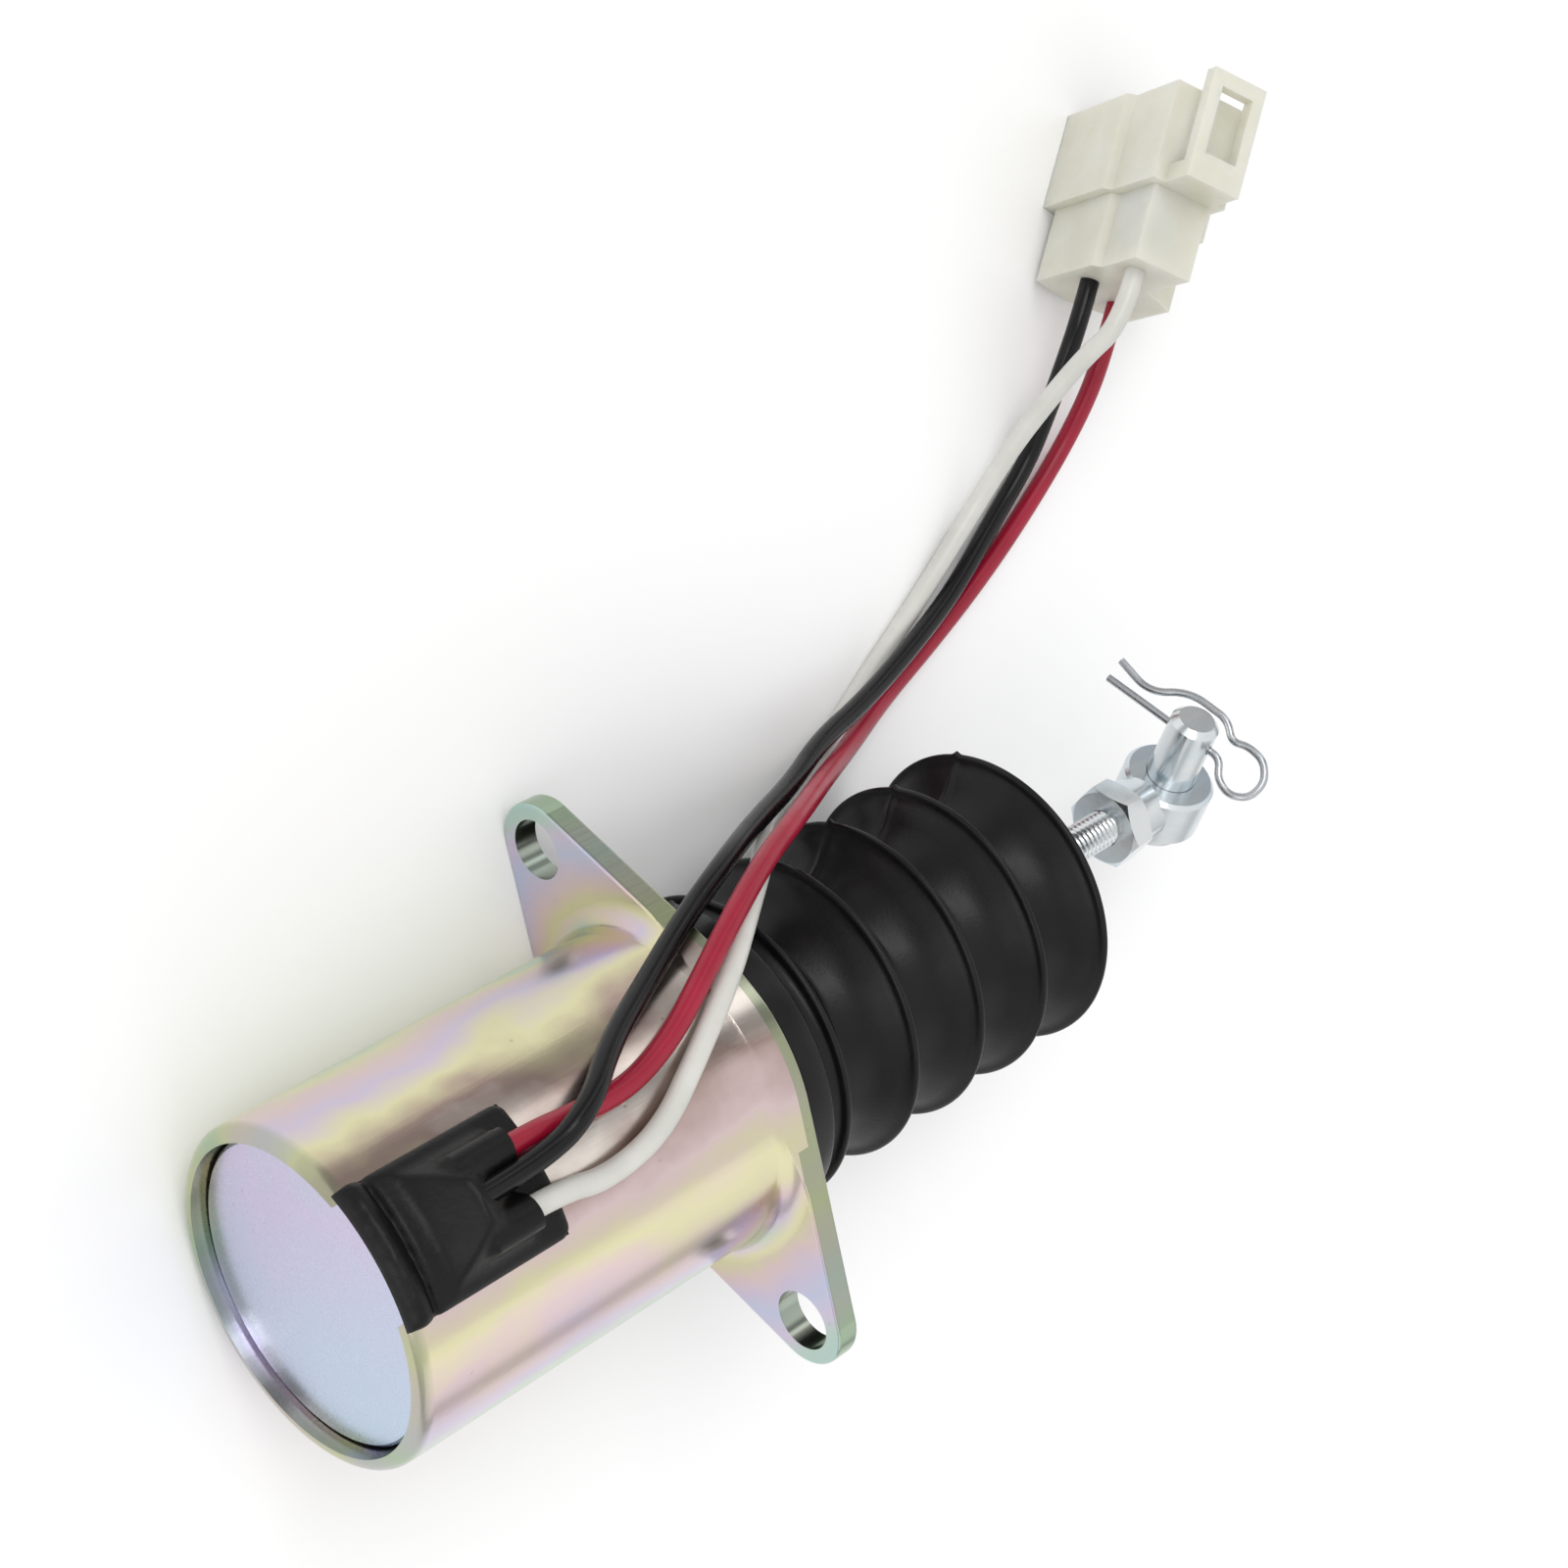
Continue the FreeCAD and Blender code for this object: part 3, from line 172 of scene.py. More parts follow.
def tube_grid(path: Array, radius: float, sides: int) -> Array:
    """Rings round a path, carried along it without twist.

    Each ring's first direction is the last one with its part along the path taken off. The
    first is taken from X, so the path starts across X.

    Args:
        path: Array of shape (n, 3).
        radius: The tube's radius.
        sides: Points on each ring.

    Returns:
        Array of shape (n, sides, 3).
    """
    tangent = np.gradient(path, axis=0)
    tangent /= np.linalg.norm(tangent, axis=1, keepdims=True)
    across = np.zeros_like(path)
    guess = np.array([1.0, 0.0, 0.0])
    for step in range(len(path)):
        guess = guess - tangent[step] * (guess @ tangent[step])
        guess /= np.linalg.norm(guess)
        across[step] = guess
    other = np.cross(tangent, across)
    turn = np.linspace(0.0, 2 * np.pi, sides, endpoint=False)
    ring = (across[:, None, :] * np.cos(turn)[None, :, None]
            + other[:, None, :] * np.sin(turn)[None, :, None])
    return path[:, None, :] + ring * radius


# Materials

class Nodes:
    """A small helper that adds and joins shader nodes."""

    def __init__(self, tree: bpy.types.NodeTree) -> None:
        """Keeps the tree that the nodes go into."""
        self.tree = tree

    def add(self, kind: str, **values: object) -> bpy.types.Node:
        """Adds a node and sets its own values.

        Args:
            kind: The node's type name.
            **values: Attributes of the node, or constants for its inputs by name.

        Returns:
            The new node.
        """
        node = self.tree.nodes.new(kind)
        for key, value in values.items():
            if hasattr(node, key):
                setattr(node, key, value)
            else:
                node.inputs[key.replace("_", " ")].default_value = value
        return node

    def here(self) -> Socket:
        """The place on the piece, in Object coordinates."""
        return self.add("ShaderNodeTexCoord").outputs["Object"]

    def join(self, source: Socket, target: Socket) -> None:
        """Links one socket to another."""
        self.tree.links.new(source, target)

    def run(self, kind: str, value: Socket, **values: object) -> Outlets:
        """Runs a value through a new node.

        Args:
            kind: The node's type name.
            value: What the node's first input takes.
            **values: Its own values, as for add.

        Returns:
            The node's outputs.
        """
        node = self.add(kind, **values)
        self.join(value, node.inputs[0])
        return node.outputs

    def feed(self, value: object, target: Socket) -> None:
        """Gives an input a socket, a number or a colour.

        Args:
            value: A socket, a number or a colour.
            target: The input.
        """
        if isinstance(value, Socket):
            self.join(value, target)
        else:
            target.default_value = (*value, 1.0) if isinstance(value, tuple) else value

    def ramp(self, stops: Stops, along: Socket) -> Socket:
        """A colour ramp.

        Args:
            stops: Places and colours in order.
            along: The socket that runs along the ramp.

        Returns:
            The ramp's colour.
        """
        node = self.add("ShaderNodeValToRGB")
        marks = node.color_ramp.elements
        while len(marks) < len(stops):
            marks.new(0.5)
        for mark, (place, colour) in zip(marks, stops):
            mark.position = place
            mark.color = (*colour, 1.0)
        self.join(along, node.inputs["Fac"])
        return node.outputs["Color"]

    def mix(self, share: Socket, first: object, second: object, kind: str = "MIX") -> Socket:
        """Blends two colours.

        Args:
            share: How much of the second colour shows.
            first: A socket or a colour.
            second: A socket or a colour.
            kind: How the two are blended.

        Returns:
            The blended colour.
        """
        node = self.add("ShaderNodeMix", data_type="RGBA", blend_type=kind)
        self.join(share, node.inputs["Factor"])
        self.feed(first, node.inputs[6])
        self.feed(second, node.inputs[7])
        return node.outputs[2]

    def math(self, operation: str, first: object, second: object = 0.0) -> Socket:
        """A two-value sum, product or other operation.

        Args:
            operation: The Math node's operation.
            first: A socket or a number.
            second: A socket or a number.

        Returns:
            The result.
        """
        node = self.add("ShaderNodeMath", operation=operation)
        self.feed(first, node.inputs[0])
        self.feed(second, node.inputs[1])
        return node.outputs[0]

    def span(self, value: Socket, source: Span, result: Span = (0.0, 1.0)) -> Socket:
        """Carries a value from a source span to a result span, held at both ends."""
        return self.run("ShaderNodeMapRange", value, From_Min=source[0], From_Max=source[1],
                        To_Min=result[0], To_Max=result[1])[0]

    def stretch(self, place: Socket, along: float) -> Socket:
        """Scales a coordinate along X, so that what reads it is drawn out."""
        return self.run("ShaderNodeMapping", place, Scale=(along, 1.0, 1.0))[0]

    def parts(self, vector: Socket) -> Outlets:
        """Splits a vector into its X, Y and Z."""
        return self.run("ShaderNodeSeparateXYZ", vector)

    def noise(self, where: Socket, scale: float, detail: float = 3.0,
              rough: float = 0.55) -> Socket:
        """Noise at a place, about 0.5 on average, with the scale in cells per metre."""
        return self.run("ShaderNodeTexNoise", where, Scale=scale, Detail=detail,
                        Roughness=rough)["Fac"]

    def sway(self, noise: Socket, amount: float) -> Socket:
        """Turns noise into a push either way of nought."""
        return self.math("MULTIPLY", self.math("SUBTRACT", noise, 0.5), amount)


@dataclass(frozen=True)
class Wear:
    """Fine wear on metal, in Object space: broad stain, small pits and drawn lines."""

    name: str = "plating_wear"
    stain_cells: float = 95.0
    pit_cells: float = 420.0
    pit_size: float = 0.13
    patch_cells: float = 260.0
    patch: Span = (0.60, 0.68)
    line_cells: float = 1500.0
    line_stretch: float = 0.06
    line_height: float = 0.35
    pit_depth: float = 0.9

    @cache
    def group(self) -> bpy.types.ShaderNodeTree:
        """Builds the shared node group once.

        A pit is the middle of a cell, kept only where a patch of noise is high. The height is
        the lines' height less the pits' depth.

        Returns:
            The group, with Stain, Pits and Lines between 0 and 1, and a Height for bump.
        """
        tree = bpy.data.node_groups.new(self.name, "ShaderNodeTree")
        sockets = tree.interface
        sockets.new_socket("Place", in_out="INPUT", socket_type="NodeSocketVector")
        for name in ("Stain", "Pits", "Lines", "Height"):
            sockets.new_socket(name, in_out="OUTPUT", socket_type="NodeSocketFloat")
        nodes = Nodes(tree)
        place = nodes.add("NodeGroupInput").outputs["Place"]
        outlet = nodes.add("NodeGroupOutput")
        cells = nodes.run("ShaderNodeTexVoronoi", place, Scale=self.pit_cells, Randomness=1.0)
        speck = nodes.span(cells["Distance"], (0.0, self.pit_size), (1.0, 0.0))
        rare = nodes.span(nodes.noise(place, self.patch_cells, detail=1.0), self.patch)
        pits = nodes.math("MULTIPLY", speck, rare)
        lines = nodes.noise(nodes.stretch(place, self.line_stretch), self.line_cells, rough=0.6)
        height = nodes.math("SUBTRACT", nodes.math("MULTIPLY", lines, self.line_height),
                            nodes.math("MULTIPLY", pits, self.pit_depth))
        made = {"Stain": nodes.noise(place, self.stain_cells, detail=4.0), "Pits": pits,
                "Lines": lines, "Height": height}
        for name, value in made.items():
            nodes.join(value, outlet.inputs[name])
        return tree

    def place_in(self, nodes: Nodes, place: Socket) -> Outlets:
        """Puts the group in a material and returns its outputs."""
        return nodes.run("ShaderNodeGroup", place, node_tree=self.group())


METAL_WEAR = Wear()
METAL_BUMP_DEPTH = 0.00025
SKIN_BUMP_DEPTH = 0.0002


def blank_material(name: str) -> tuple[bpy.types.Material, Nodes, bpy.types.Node]:
    """A material with its own Principled shader.

    Args:
        name: Name of the material.

    Returns:
        The material, the node helper and the shader.
    """
    material = bpy.data.materials.new(name)
    material.use_nodes = True
    shader = material.node_tree.nodes["Principled BSDF"]
    return material, Nodes(material.node_tree), shader


def add_bump(nodes: Nodes, shader: bpy.types.Node, height: Socket, strength: float,
             depth: float) -> None:
    """Joins a bump to the shader.

    Args:
        nodes: The material's node helper.
        shader: The Principled shader.
        height: The height field.
        strength: Strength of the bump.
        depth: Its depth in metres.
    """
    bump = nodes.add("ShaderNodeBump", Strength=strength, Distance=depth)
    nodes.join(height, bump.inputs["Height"])
    nodes.join(bump.outputs["Normal"], shader.inputs["Normal"])


LILAC = (0.60, 0.53, 0.66)
PINK = (0.69, 0.55, 0.55)
STRAW = (0.68, 0.65, 0.40)
OLIVE = (0.27, 0.34, 0.20)
GREEN = (0.46, 0.59, 0.42)
SKY = (0.48, 0.61, 0.72)
# Pale stop in the can's bands: a painted highlight.
PAINTED_HIGHLIGHT_PALE = (0.76, 0.70, 0.64)
# Brown stops in the can's bands: a brownish film tint darkened as a painted dark reflection.
PAINTED_DARK_REFLECTION_BROWN = (0.38, 0.28, 0.25)
BLUE = (0.52, 0.55, 0.70)
SEA = (0.46, 0.58, 0.52)
TEAL = (0.42, 0.57, 0.53)
GRIME = (0.60, 0.56, 0.50)


@dataclass(frozen=True)
class Chromate:
    """Iridescent zinc plating: the film's colour runs round the can in soft bands, which on the can
    are partly the plating's own colours and partly painted reflections.
    """

    name: str
    stops: Stops
    roughness: float
    edge: Colour
    centre: Span = (0.0, 0.0)
    ear_stops: Stops = ((0.0, PINK), (0.14, STRAW), (0.26, PINK), (0.40, LILAC), (0.55, BLUE),
                        (0.72, LILAC), (0.88, SEA), (1.0, TEAL))
    ear_reach: Span = (0.0190, 0.0345)
    ear_join: Span = (0.0194, 0.0210)
    ear_sway: float = 0.6
    far_shift: Span = (0.0195, 0.0350)
    far_turn: float = 0.22
    broad_cells: float = 60.0
    broad_stretch: float = 0.45
    broad_sway: float = 0.20
    stain_sway: float = 0.07
    lip: Span = (-0.0524, -0.0533)
    lip_share: float = 0.5
    cut_share: float = 0.7
    ear_cut: Span = (0.0197, -0.0031)
    mouth_cut: Span = (0.0187, -0.0016)
    turned: float = 0.5
    line_rough: float = 0.10
    stain_rough: float = 0.12
    bump: float = 0.10

    def beyond(self, nodes: Nodes, far: Socket, x: Socket, limit: Span) -> Socket:
        """1 past a radius and in front of a plane across X, or else 0."""
        return nodes.math("MULTIPLY", nodes.math("GREATER_THAN", far, limit[0]),
                          nodes.math("GREATER_THAN", x, limit[1]))

    def rim(self, nodes: Nodes, x: Socket, far: Socket) -> Socket:
        """How far a place belongs to the can's lip or to the flange's sheared edge.

        The sheared edge is where the face turns away from X, beyond the can's radius.

        Args:
            nodes: The material's node helper.
            x: Place along the axis.
            far: Distance from the axis.

        Returns:
            How much of the edge's colour shows.
        """
        lip = nodes.span(x, self.lip)
        facing = nodes.parts(nodes.add("ShaderNodeNewGeometry").outputs["Normal"])
        side = nodes.math("LESS_THAN", nodes.math("ABSOLUTE", facing["X"]), self.turned)
        ear = self.beyond(nodes, far, x, self.ear_cut)
        mouth = self.beyond(nodes, far, x, self.mouth_cut)
        sheared = nodes.math("MULTIPLY", side, nodes.math("MAXIMUM", ear, mouth))
        return nodes.math("MAXIMUM", nodes.math("MULTIPLY", lip, self.lip_share),
                          nodes.math("MULTIPLY", sheared, self.cut_share))

    def film(self, nodes: Nodes, split: Outlets, far: Socket, broad: Socket,
             stain: Socket) -> Socket:
        """The film's colour on the can and on its ears; on the can the bands are partly painted
        reflections, with a painted highlight and painted dark reflections among them.

        On the can it is the angle about X as a share of a turn, counted from -Y and bent by
        noise, through the stops. On the ears the distance from the axis, bent by noise too,
        runs through stops of its own.

        Args:
            nodes: The material's node helper.
            split: The Object coordinate's parts.
            far: Distance from the axis.
            broad: Broad noise.
            stain: The wear's stain.

        Returns:
            The colour.
        """
        angle = nodes.math("ARCTAN2", nodes.math("SUBTRACT", split["Z"], self.centre[1]),
                           nodes.math("SUBTRACT", split["Y"], self.centre[0]))
        turn = nodes.math("DIVIDE", nodes.math("ADD", angle, math.pi), 2 * math.pi)
        bend = nodes.math("ADD", nodes.sway(broad, self.broad_sway),
                          nodes.sway(stain, self.stain_sway))
        shift = nodes.math("ADD", bend, nodes.span(far, self.far_shift, (0.0, self.far_turn)))
        along = nodes.math("FRACT", nodes.math("ADD", turn, nodes.math("ADD", shift, 1.0)))
        reach = nodes.math("ADD", nodes.span(far, self.ear_reach), nodes.sway(broad, self.ear_sway))
        return nodes.mix(nodes.span(far, self.ear_join), nodes.ramp(self.stops, along),
                         nodes.ramp(self.ear_stops, reach))

    def make(self) -> bpy.types.Material:
        """Builds the material: film with painted reflection bands, edge and pits for colour, lines
        and stain for gloss.

        Returns:
            The new material.
        """
        material, nodes, shader = blank_material(self.name)
        place = nodes.here()
        wear = METAL_WEAR.place_in(nodes, place)
        split = nodes.parts(place)
        far = nodes.math("SQRT", nodes.math("ADD", nodes.math("MULTIPLY", split["Y"], split["Y"]),
                                            nodes.math("MULTIPLY", split["Z"], split["Z"])))
        broad = nodes.noise(nodes.stretch(place, self.broad_stretch), self.broad_cells)
        # On the can this banded colour holds painted reflections: a painted highlight and painted
        # dark reflections.
        film = self.film(nodes, split, far, broad, wear["Stain"])
        edged = nodes.mix(self.rim(nodes, split["X"], far), film, self.edge)
        nodes.join(nodes.mix(wear["Pits"], edged, GRIME, "MULTIPLY"), shader.inputs["Base Color"])
        steady = self.roughness - (self.line_rough + self.stain_rough) / 2
        rough = nodes.math("ADD", nodes.math("MULTIPLY", wear["Lines"], self.line_rough),
                           nodes.math("ADD", nodes.math("MULTIPLY", wear["Stain"],
                                                        self.stain_rough), steady))
        nodes.join(rough, shader.inputs["Roughness"])
        shader.inputs["Metallic"].default_value = 1.0
        add_bump(nodes, shader, wear["Height"], self.bump, METAL_BUMP_DEPTH)
        return material


@dataclass(frozen=True)
class Metal:
    """Plain or bright-plated metal with light staining."""

    name: str
    colour: Colour
    tint: Colour
    roughness: float
    bump: float = 0.10
    stain: Span = (0.34, 0.66)
    line_rough: float = 0.14
    smoother: float = 0.05

    def make(self) -> bpy.types.Material:
        """Builds the material: two close colours mixed by stain, with fine drawn lines.

        Returns:
            The new material.
        """
        material, nodes, shader = blank_material(self.name)
        place = nodes.here()
        wear = METAL_WEAR.place_in(nodes, place)
        mid = tuple((a + b) / 2 for a, b in zip(self.colour, self.tint))
        low, high = self.stain
        colour = nodes.ramp(((low, self.colour), ((low + high) / 2, mid), (high, self.tint)),
                            wear["Stain"])
        nodes.join(colour, shader.inputs["Base Color"])
        rough = nodes.math("ADD", nodes.math("MULTIPLY", wear["Lines"], self.line_rough),
                           self.roughness - self.smoother)
        nodes.join(rough, shader.inputs["Roughness"])
        shader.inputs["Metallic"].default_value = 1.0
        add_bump(nodes, shader, wear["Height"], self.bump, METAL_BUMP_DEPTH)
        return material


@dataclass(frozen=True)
class Moulded:
    """Rubber or plastic from a mould, with faint mottling and a fine skin."""

    name: str
    colour: Colour
    tint: Colour
    roughness: float
    coat: float = 0.0
    subsurface: float = 0.0
    transmission: float = 0.0
    grain: float = 2600.0
    gloss: float = 0.5
    bump: float = 0.12
    mottle_cells: float = 140.0
    mottle: Span = (0.3, 0.7)
    smear_cells: float = 320.0
    smear_rough: float = 0.22
    coat_roughness: float = 0.18
    glow_reach: Colour = (1.0, 0.85, 0.6)
    glow_depth: float = 0.003
    refraction: float = 1.5

    def make(self) -> bpy.types.Material:
        """Builds the material: mottled colour, smeared gloss and a fine bump.

        Returns:
            The new material.
        """
        material, nodes, shader = blank_material(self.name)
        place = nodes.here()
        low, high = self.mottle
        colour = nodes.ramp(((low, self.colour), (high, self.tint)),
                            nodes.noise(place, self.mottle_cells, detail=4.0))
        nodes.join(colour, shader.inputs["Base Color"])
        smear = nodes.noise(place, self.smear_cells)
        rough = nodes.math("ADD", nodes.math("MULTIPLY", smear, self.smear_rough),
                           self.roughness - self.smear_rough / 2)
        nodes.join(rough, shader.inputs["Roughness"])
        steady = {"Specular IOR Level": self.gloss, "Coat Weight": self.coat,
                  "Coat Roughness": self.coat_roughness, "Subsurface Weight": self.subsurface,
                  "Subsurface Radius": self.glow_reach, "Subsurface Scale": self.glow_depth,
                  "Transmission Weight": self.transmission, "IOR": self.refraction}
        for socket, value in steady.items():
            shader.inputs[socket].default_value = value
        add_bump(nodes, shader, nodes.noise(place, self.grain), self.bump, SKIN_BUMP_DEPTH)
        return material


@dataclass(frozen=True)
class Matte:
    """A plain matte paint."""

    name: str
    colour: Colour
    roughness: float
    gloss: float

    def make(self) -> bpy.types.Material:
        """Builds the material from plain values.

        Returns:
            The new material.
        """
        material, _, shader = blank_material(self.name)
        shader.inputs["Base Color"].default_value = (*self.colour, 1.0)
        shader.inputs["Roughness"].default_value = self.roughness
        shader.inputs["Specular IOR Level"].default_value = self.gloss
        return material


Finish = Chromate | Metal | Moulded | Matte

# The can's stops are partly the plating's own colours and partly painted reflections: the brown
# stops at 0.60 and 0.68 are painted dark reflections and the pale stop at 0.64 is a painted
# highlight.
CAN_FILM_PAINTED_REFLECTIONS = Chromate("can_plating_painted_reflections", (
    (0.00, STRAW), (0.08, PINK), (0.17, LILAC), (0.26, GREEN), (0.35, STRAW), (0.425, GREEN),
    (0.455, STRAW), (0.485, PINK), (0.52, LILAC), (0.56, STRAW), (0.60, PAINTED_DARK_REFLECTION_BROWN), (0.64, PAINTED_HIGHLIGHT_PALE),
    (0.68, PAINTED_DARK_REFLECTION_BROWN), (0.73, PINK), (0.775, STRAW), (0.815, PINK), (0.855, LILAC), (0.90, GREEN),
    (0.94, LILAC), (1.0, STRAW)), roughness=0.22, edge=OLIVE)
DISC_FILM = Chromate("disc_plating", (
    (0.00, SKY), (0.15, (0.50, 0.59, 0.72)), (0.3, (0.59, 0.53, 0.69)), (0.45, (0.44, 0.63, 0.63)),
    (0.6, (0.60, 0.55, 0.67)), (0.8, SKY), (1.0, SKY)), roughness=0.27, edge=SKY,
    centre=(0.004, 0.030))
BRIGHT_ZINC = Metal("bright_zinc", (0.72, 0.74, 0.74), (0.60, 0.68, 0.74), 0.2)
SPRING_STEEL = Metal("spring_steel", (0.52, 0.53, 0.54), (0.44, 0.46, 0.49), 0.26)
PLAIN_STEEL = Metal("plain_steel", (0.50, 0.50, 0.51), (0.42, 0.42, 0.44), 0.34)
TUBE_BRASS = Metal("tube_brass", (0.72, 0.54, 0.26), (0.62, 0.44, 0.20), 0.28)
BLADE_TIN = Metal("blade_tin", (0.74, 0.72, 0.66), (0.66, 0.62, 0.52), 0.26)
COIL_COPPER = Metal("coil_copper", (0.52, 0.20, 0.09), (0.40, 0.14, 0.06), 0.35, bump=0.5)
BOOT_RUBBER = Moulded("boot_rubber", (0.002, 0.002, 0.0025), (0.006, 0.006, 0.007), 0.34,
                      gloss=0.26)
GLAND_RUBBER = Moulded("gland_rubber", (0.002, 0.002, 0.002), (0.006, 0.006, 0.006), 0.40,
                       grain=1500.0, bump=0.3, gloss=0.22)
BOBBIN_NYLON = Moulded("bobbin_nylon", (0.10, 0.09, 0.08), (0.14, 0.13, 0.11), 0.5)
COIL_TAPE = Moulded("coil_tape", (0.62, 0.48, 0.18), (0.70, 0.56, 0.24), 0.3)
PLUG_NYLON = Moulded("plug_nylon", (0.73, 0.715, 0.60), (0.82, 0.81, 0.73), 0.36,
                     subsurface=0.6, transmission=0.25, bump=0.06)
WIRE_SKIN = {
    Side.BLACK: Moulded("wire_black_skin", (0.002, 0.002, 0.003), (0.005, 0.005, 0.006), 0.26,
                        coat=0.04, bump=0.05, gloss=0.25),
    Side.RED: Moulded("wire_red_skin", (0.26, 0.003, 0.020), (0.34, 0.006, 0.032), 0.36,
                      coat=0.08, bump=0.05, gloss=0.36),
    Side.WHITE: Moulded("wire_white_skin", (0.54, 0.54, 0.50), (0.64, 0.63, 0.59), 0.36,
                        coat=0.15, bump=0.05),
}
FLOOR_PAINT = Matte("studio_floor_paint", (0.93, 0.93, 0.93), 0.9, 0.1)


@cache
def material_of(finish: Finish) -> bpy.types.Material:
    """Makes each finish's material once."""
    return finish.make()


def paint(piece: Piece, finish: Finish) -> None:
    """Gives every slot of a piece one finish.

    Args:
        piece: The piece.
        finish: Its finish.
    """
    material = material_of(finish)
    if not piece.material_slots:
        piece.data.materials.append(material)
    for slot in piece.material_slots:
        slot.material = material


# Pieces

@dataclass
class KeptSolids:
    """A sub-assembly whose solids keep their CAD shape and only take a finish."""

    title: str
    finishes: dict[str, Finish]

    def dress(self, nodes: dict[str, Piece]) -> None:
        """Paints each solid.

        Args:
            nodes: The frame's nodes by name.
        """
        for name, finish in self.finishes.items():
            paint(nodes[name], finish)
            LOG.info("%s: %s takes %s", self.title, name, finish.name)


CAN = KeptSolids("can", {"housing": CAN_FILM_PAINTED_REFLECTIONS, "end_disc": DISC_FILM})
COIL = KeptSolids("coil", {
    "bobbin": BOBBIN_NYLON, "pull_winding": COIL_COPPER, "hold_winding": COIL_COPPER,
    "coil_wrap": COIL_TAPE, "pole_piece": PLAIN_STEEL, "guide_tube": TUBE_BRASS,
    "front_plate": PLAIN_STEEL, "plunger": PLAIN_STEEL})
ROD_FITTINGS = KeptSolids("rod fittings", {
    "jam_nut": BRIGHT_ZINC, "rod_end": BRIGHT_ZINC, "linkage_pin": BRIGHT_ZINC,
    "hairpin_clip": SPRING_STEEL})
PLUG = KeptSolids("plug", {
    "connector_housing": PLUG_NYLON, "terminal_black": BLADE_TIN, "terminal_red": BLADE_TIN,
    "terminal_white": BLADE_TIN})


@dataclass
class Boot:
    """The rubber bellows: cuff, five thin crests, deep valleys, neck and moulding ribs.

    A line's points are (x, r) steps from a place on the axis and a radius. The ribs leave out
    the plain points at the neck's end.
    """

    crest_radius: float = 18.45
    valley_radius: float = 12.7
    first_crest: float = 6.4
    pitch: float = 11.05
    crests: int = 5
    valley_share: float = 0.45
    cuff_line: Line = ((0.1, 16.3), (0.1, 18.5), (0.5, 18.9), (3.1, 18.9), (3.6, 18.55),
                       (3.75, 17.9), (4.3, 17.2), (4.9, 17.15))
    crest_line: Line = ((-0.62, -1.05), (-0.42, -0.35), (-0.22, -0.06), (0.0, 0.0),
                        (0.22, -0.06), (0.42, -0.35), (0.62, -1.05))
    fall_line: Line = ((1.5, -2.3), (3.0, -4.1))
    valley_line: Line = ((-0.8, 0.35), (0.0, 0.0), (0.8, 0.35))
    climb_line: Line = ((-3.2, -4.1), (-1.7, -2.3))
    front_line: Line = ((1.0, -2.6), (2.4, -7.2), (4.0, -11.6))
    neck_start: float = 55.6
    neck_end: float = 59.8
    neck_radius: float = 4.3
    neck_root: Line = ((0.0, 0.9), (0.7, 0.0))
    neck_lip: Line = ((-0.3, 0.0), (0.0, -0.3))
    bore: float = 2.5
    wall: float = 1.625
    hollow_start: float = 0.2
    hollow_stop: float = 0.6
    rib_deg: float = -1.7
    rib_height: float = 0.42
    rib_width: float = 0.38
    plain_end: int = 3
    per_run: int = 2
    segments: int = 240
    sharp_deg: float = 62.0

    def line(self) -> Array:
        """The outer line in (x, r), with rounded crests standing as thin fins.

        Returns:
            Array of shape (n, 2), in millimetres.
        """
        points = list(self.cuff_line)
        crests = [self.first_crest + step * self.pitch for step in range(self.crests)]
        for x, after in zip(crests, crests[1:]):
            points += moved(self.crest_line, x, self.crest_radius)
            points += moved(self.fall_line, x, self.crest_radius)
            points += moved(self.valley_line, x + self.pitch * self.valley_share,
                            self.valley_radius)
            points += moved(self.climb_line, after, self.crest_radius)
        points += moved(self.crest_line, crests[-1], self.crest_radius)
        points += moved(self.front_line, crests[-1], self.crest_radius)
        points += moved(self.neck_root, self.neck_start, self.neck_radius)
        points += moved(self.neck_lip, self.neck_end, self.neck_radius)
        return np.array(points + [(self.neck_end, self.bore)])

    def build(self) -> Piece:
        """Builds the bellows as one closed skin.

        The outer line and the same line moved in by the wall make a loop, turned about X. Each
        rib adds a hump to the radius, with its width measured round the skin.

        Returns:
            The new piece.
        """
        outer = smooth_curve(self.line(), self.per_run)
        inner = outer[::-1].copy()
        inner[:, 1] = np.maximum(inner[:, 1] - self.wall, self.bore)
        inner = inner[(inner[:, 0] > self.hollow_start)
                      & (inner[:, 0] < self.neck_start - self.hollow_stop)]
        profile = np.vstack([outer, inner])
        turn = np.linspace(0.0, 2 * np.pi, self.segments, endpoint=False)
        radius = np.repeat(profile[:, 1:], self.segments, axis=1)
        outside = (np.arange(len(profile)) < len(outer) - self.plain_end)[:, None]
        for start in (self.rib_deg, self.rib_deg + 180.0):
            away = (turn - math.radians(start) + np.pi) % (2 * np.pi) - np.pi
            radius = radius + outside * hump(radius * away, self.rib_height, 0.0, self.rib_width)
        x = np.repeat(profile[:, :1], self.segments, axis=1)
        grid = around(x, radius, turn) * MM
        piece = mesh_from_grid("boot_skin", grid, True, self.sharp_deg)
        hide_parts("boot")
        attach(piece, "can_assembly")
        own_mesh(piece)
        paint(piece, BOOT_RUBBER)
        return piece


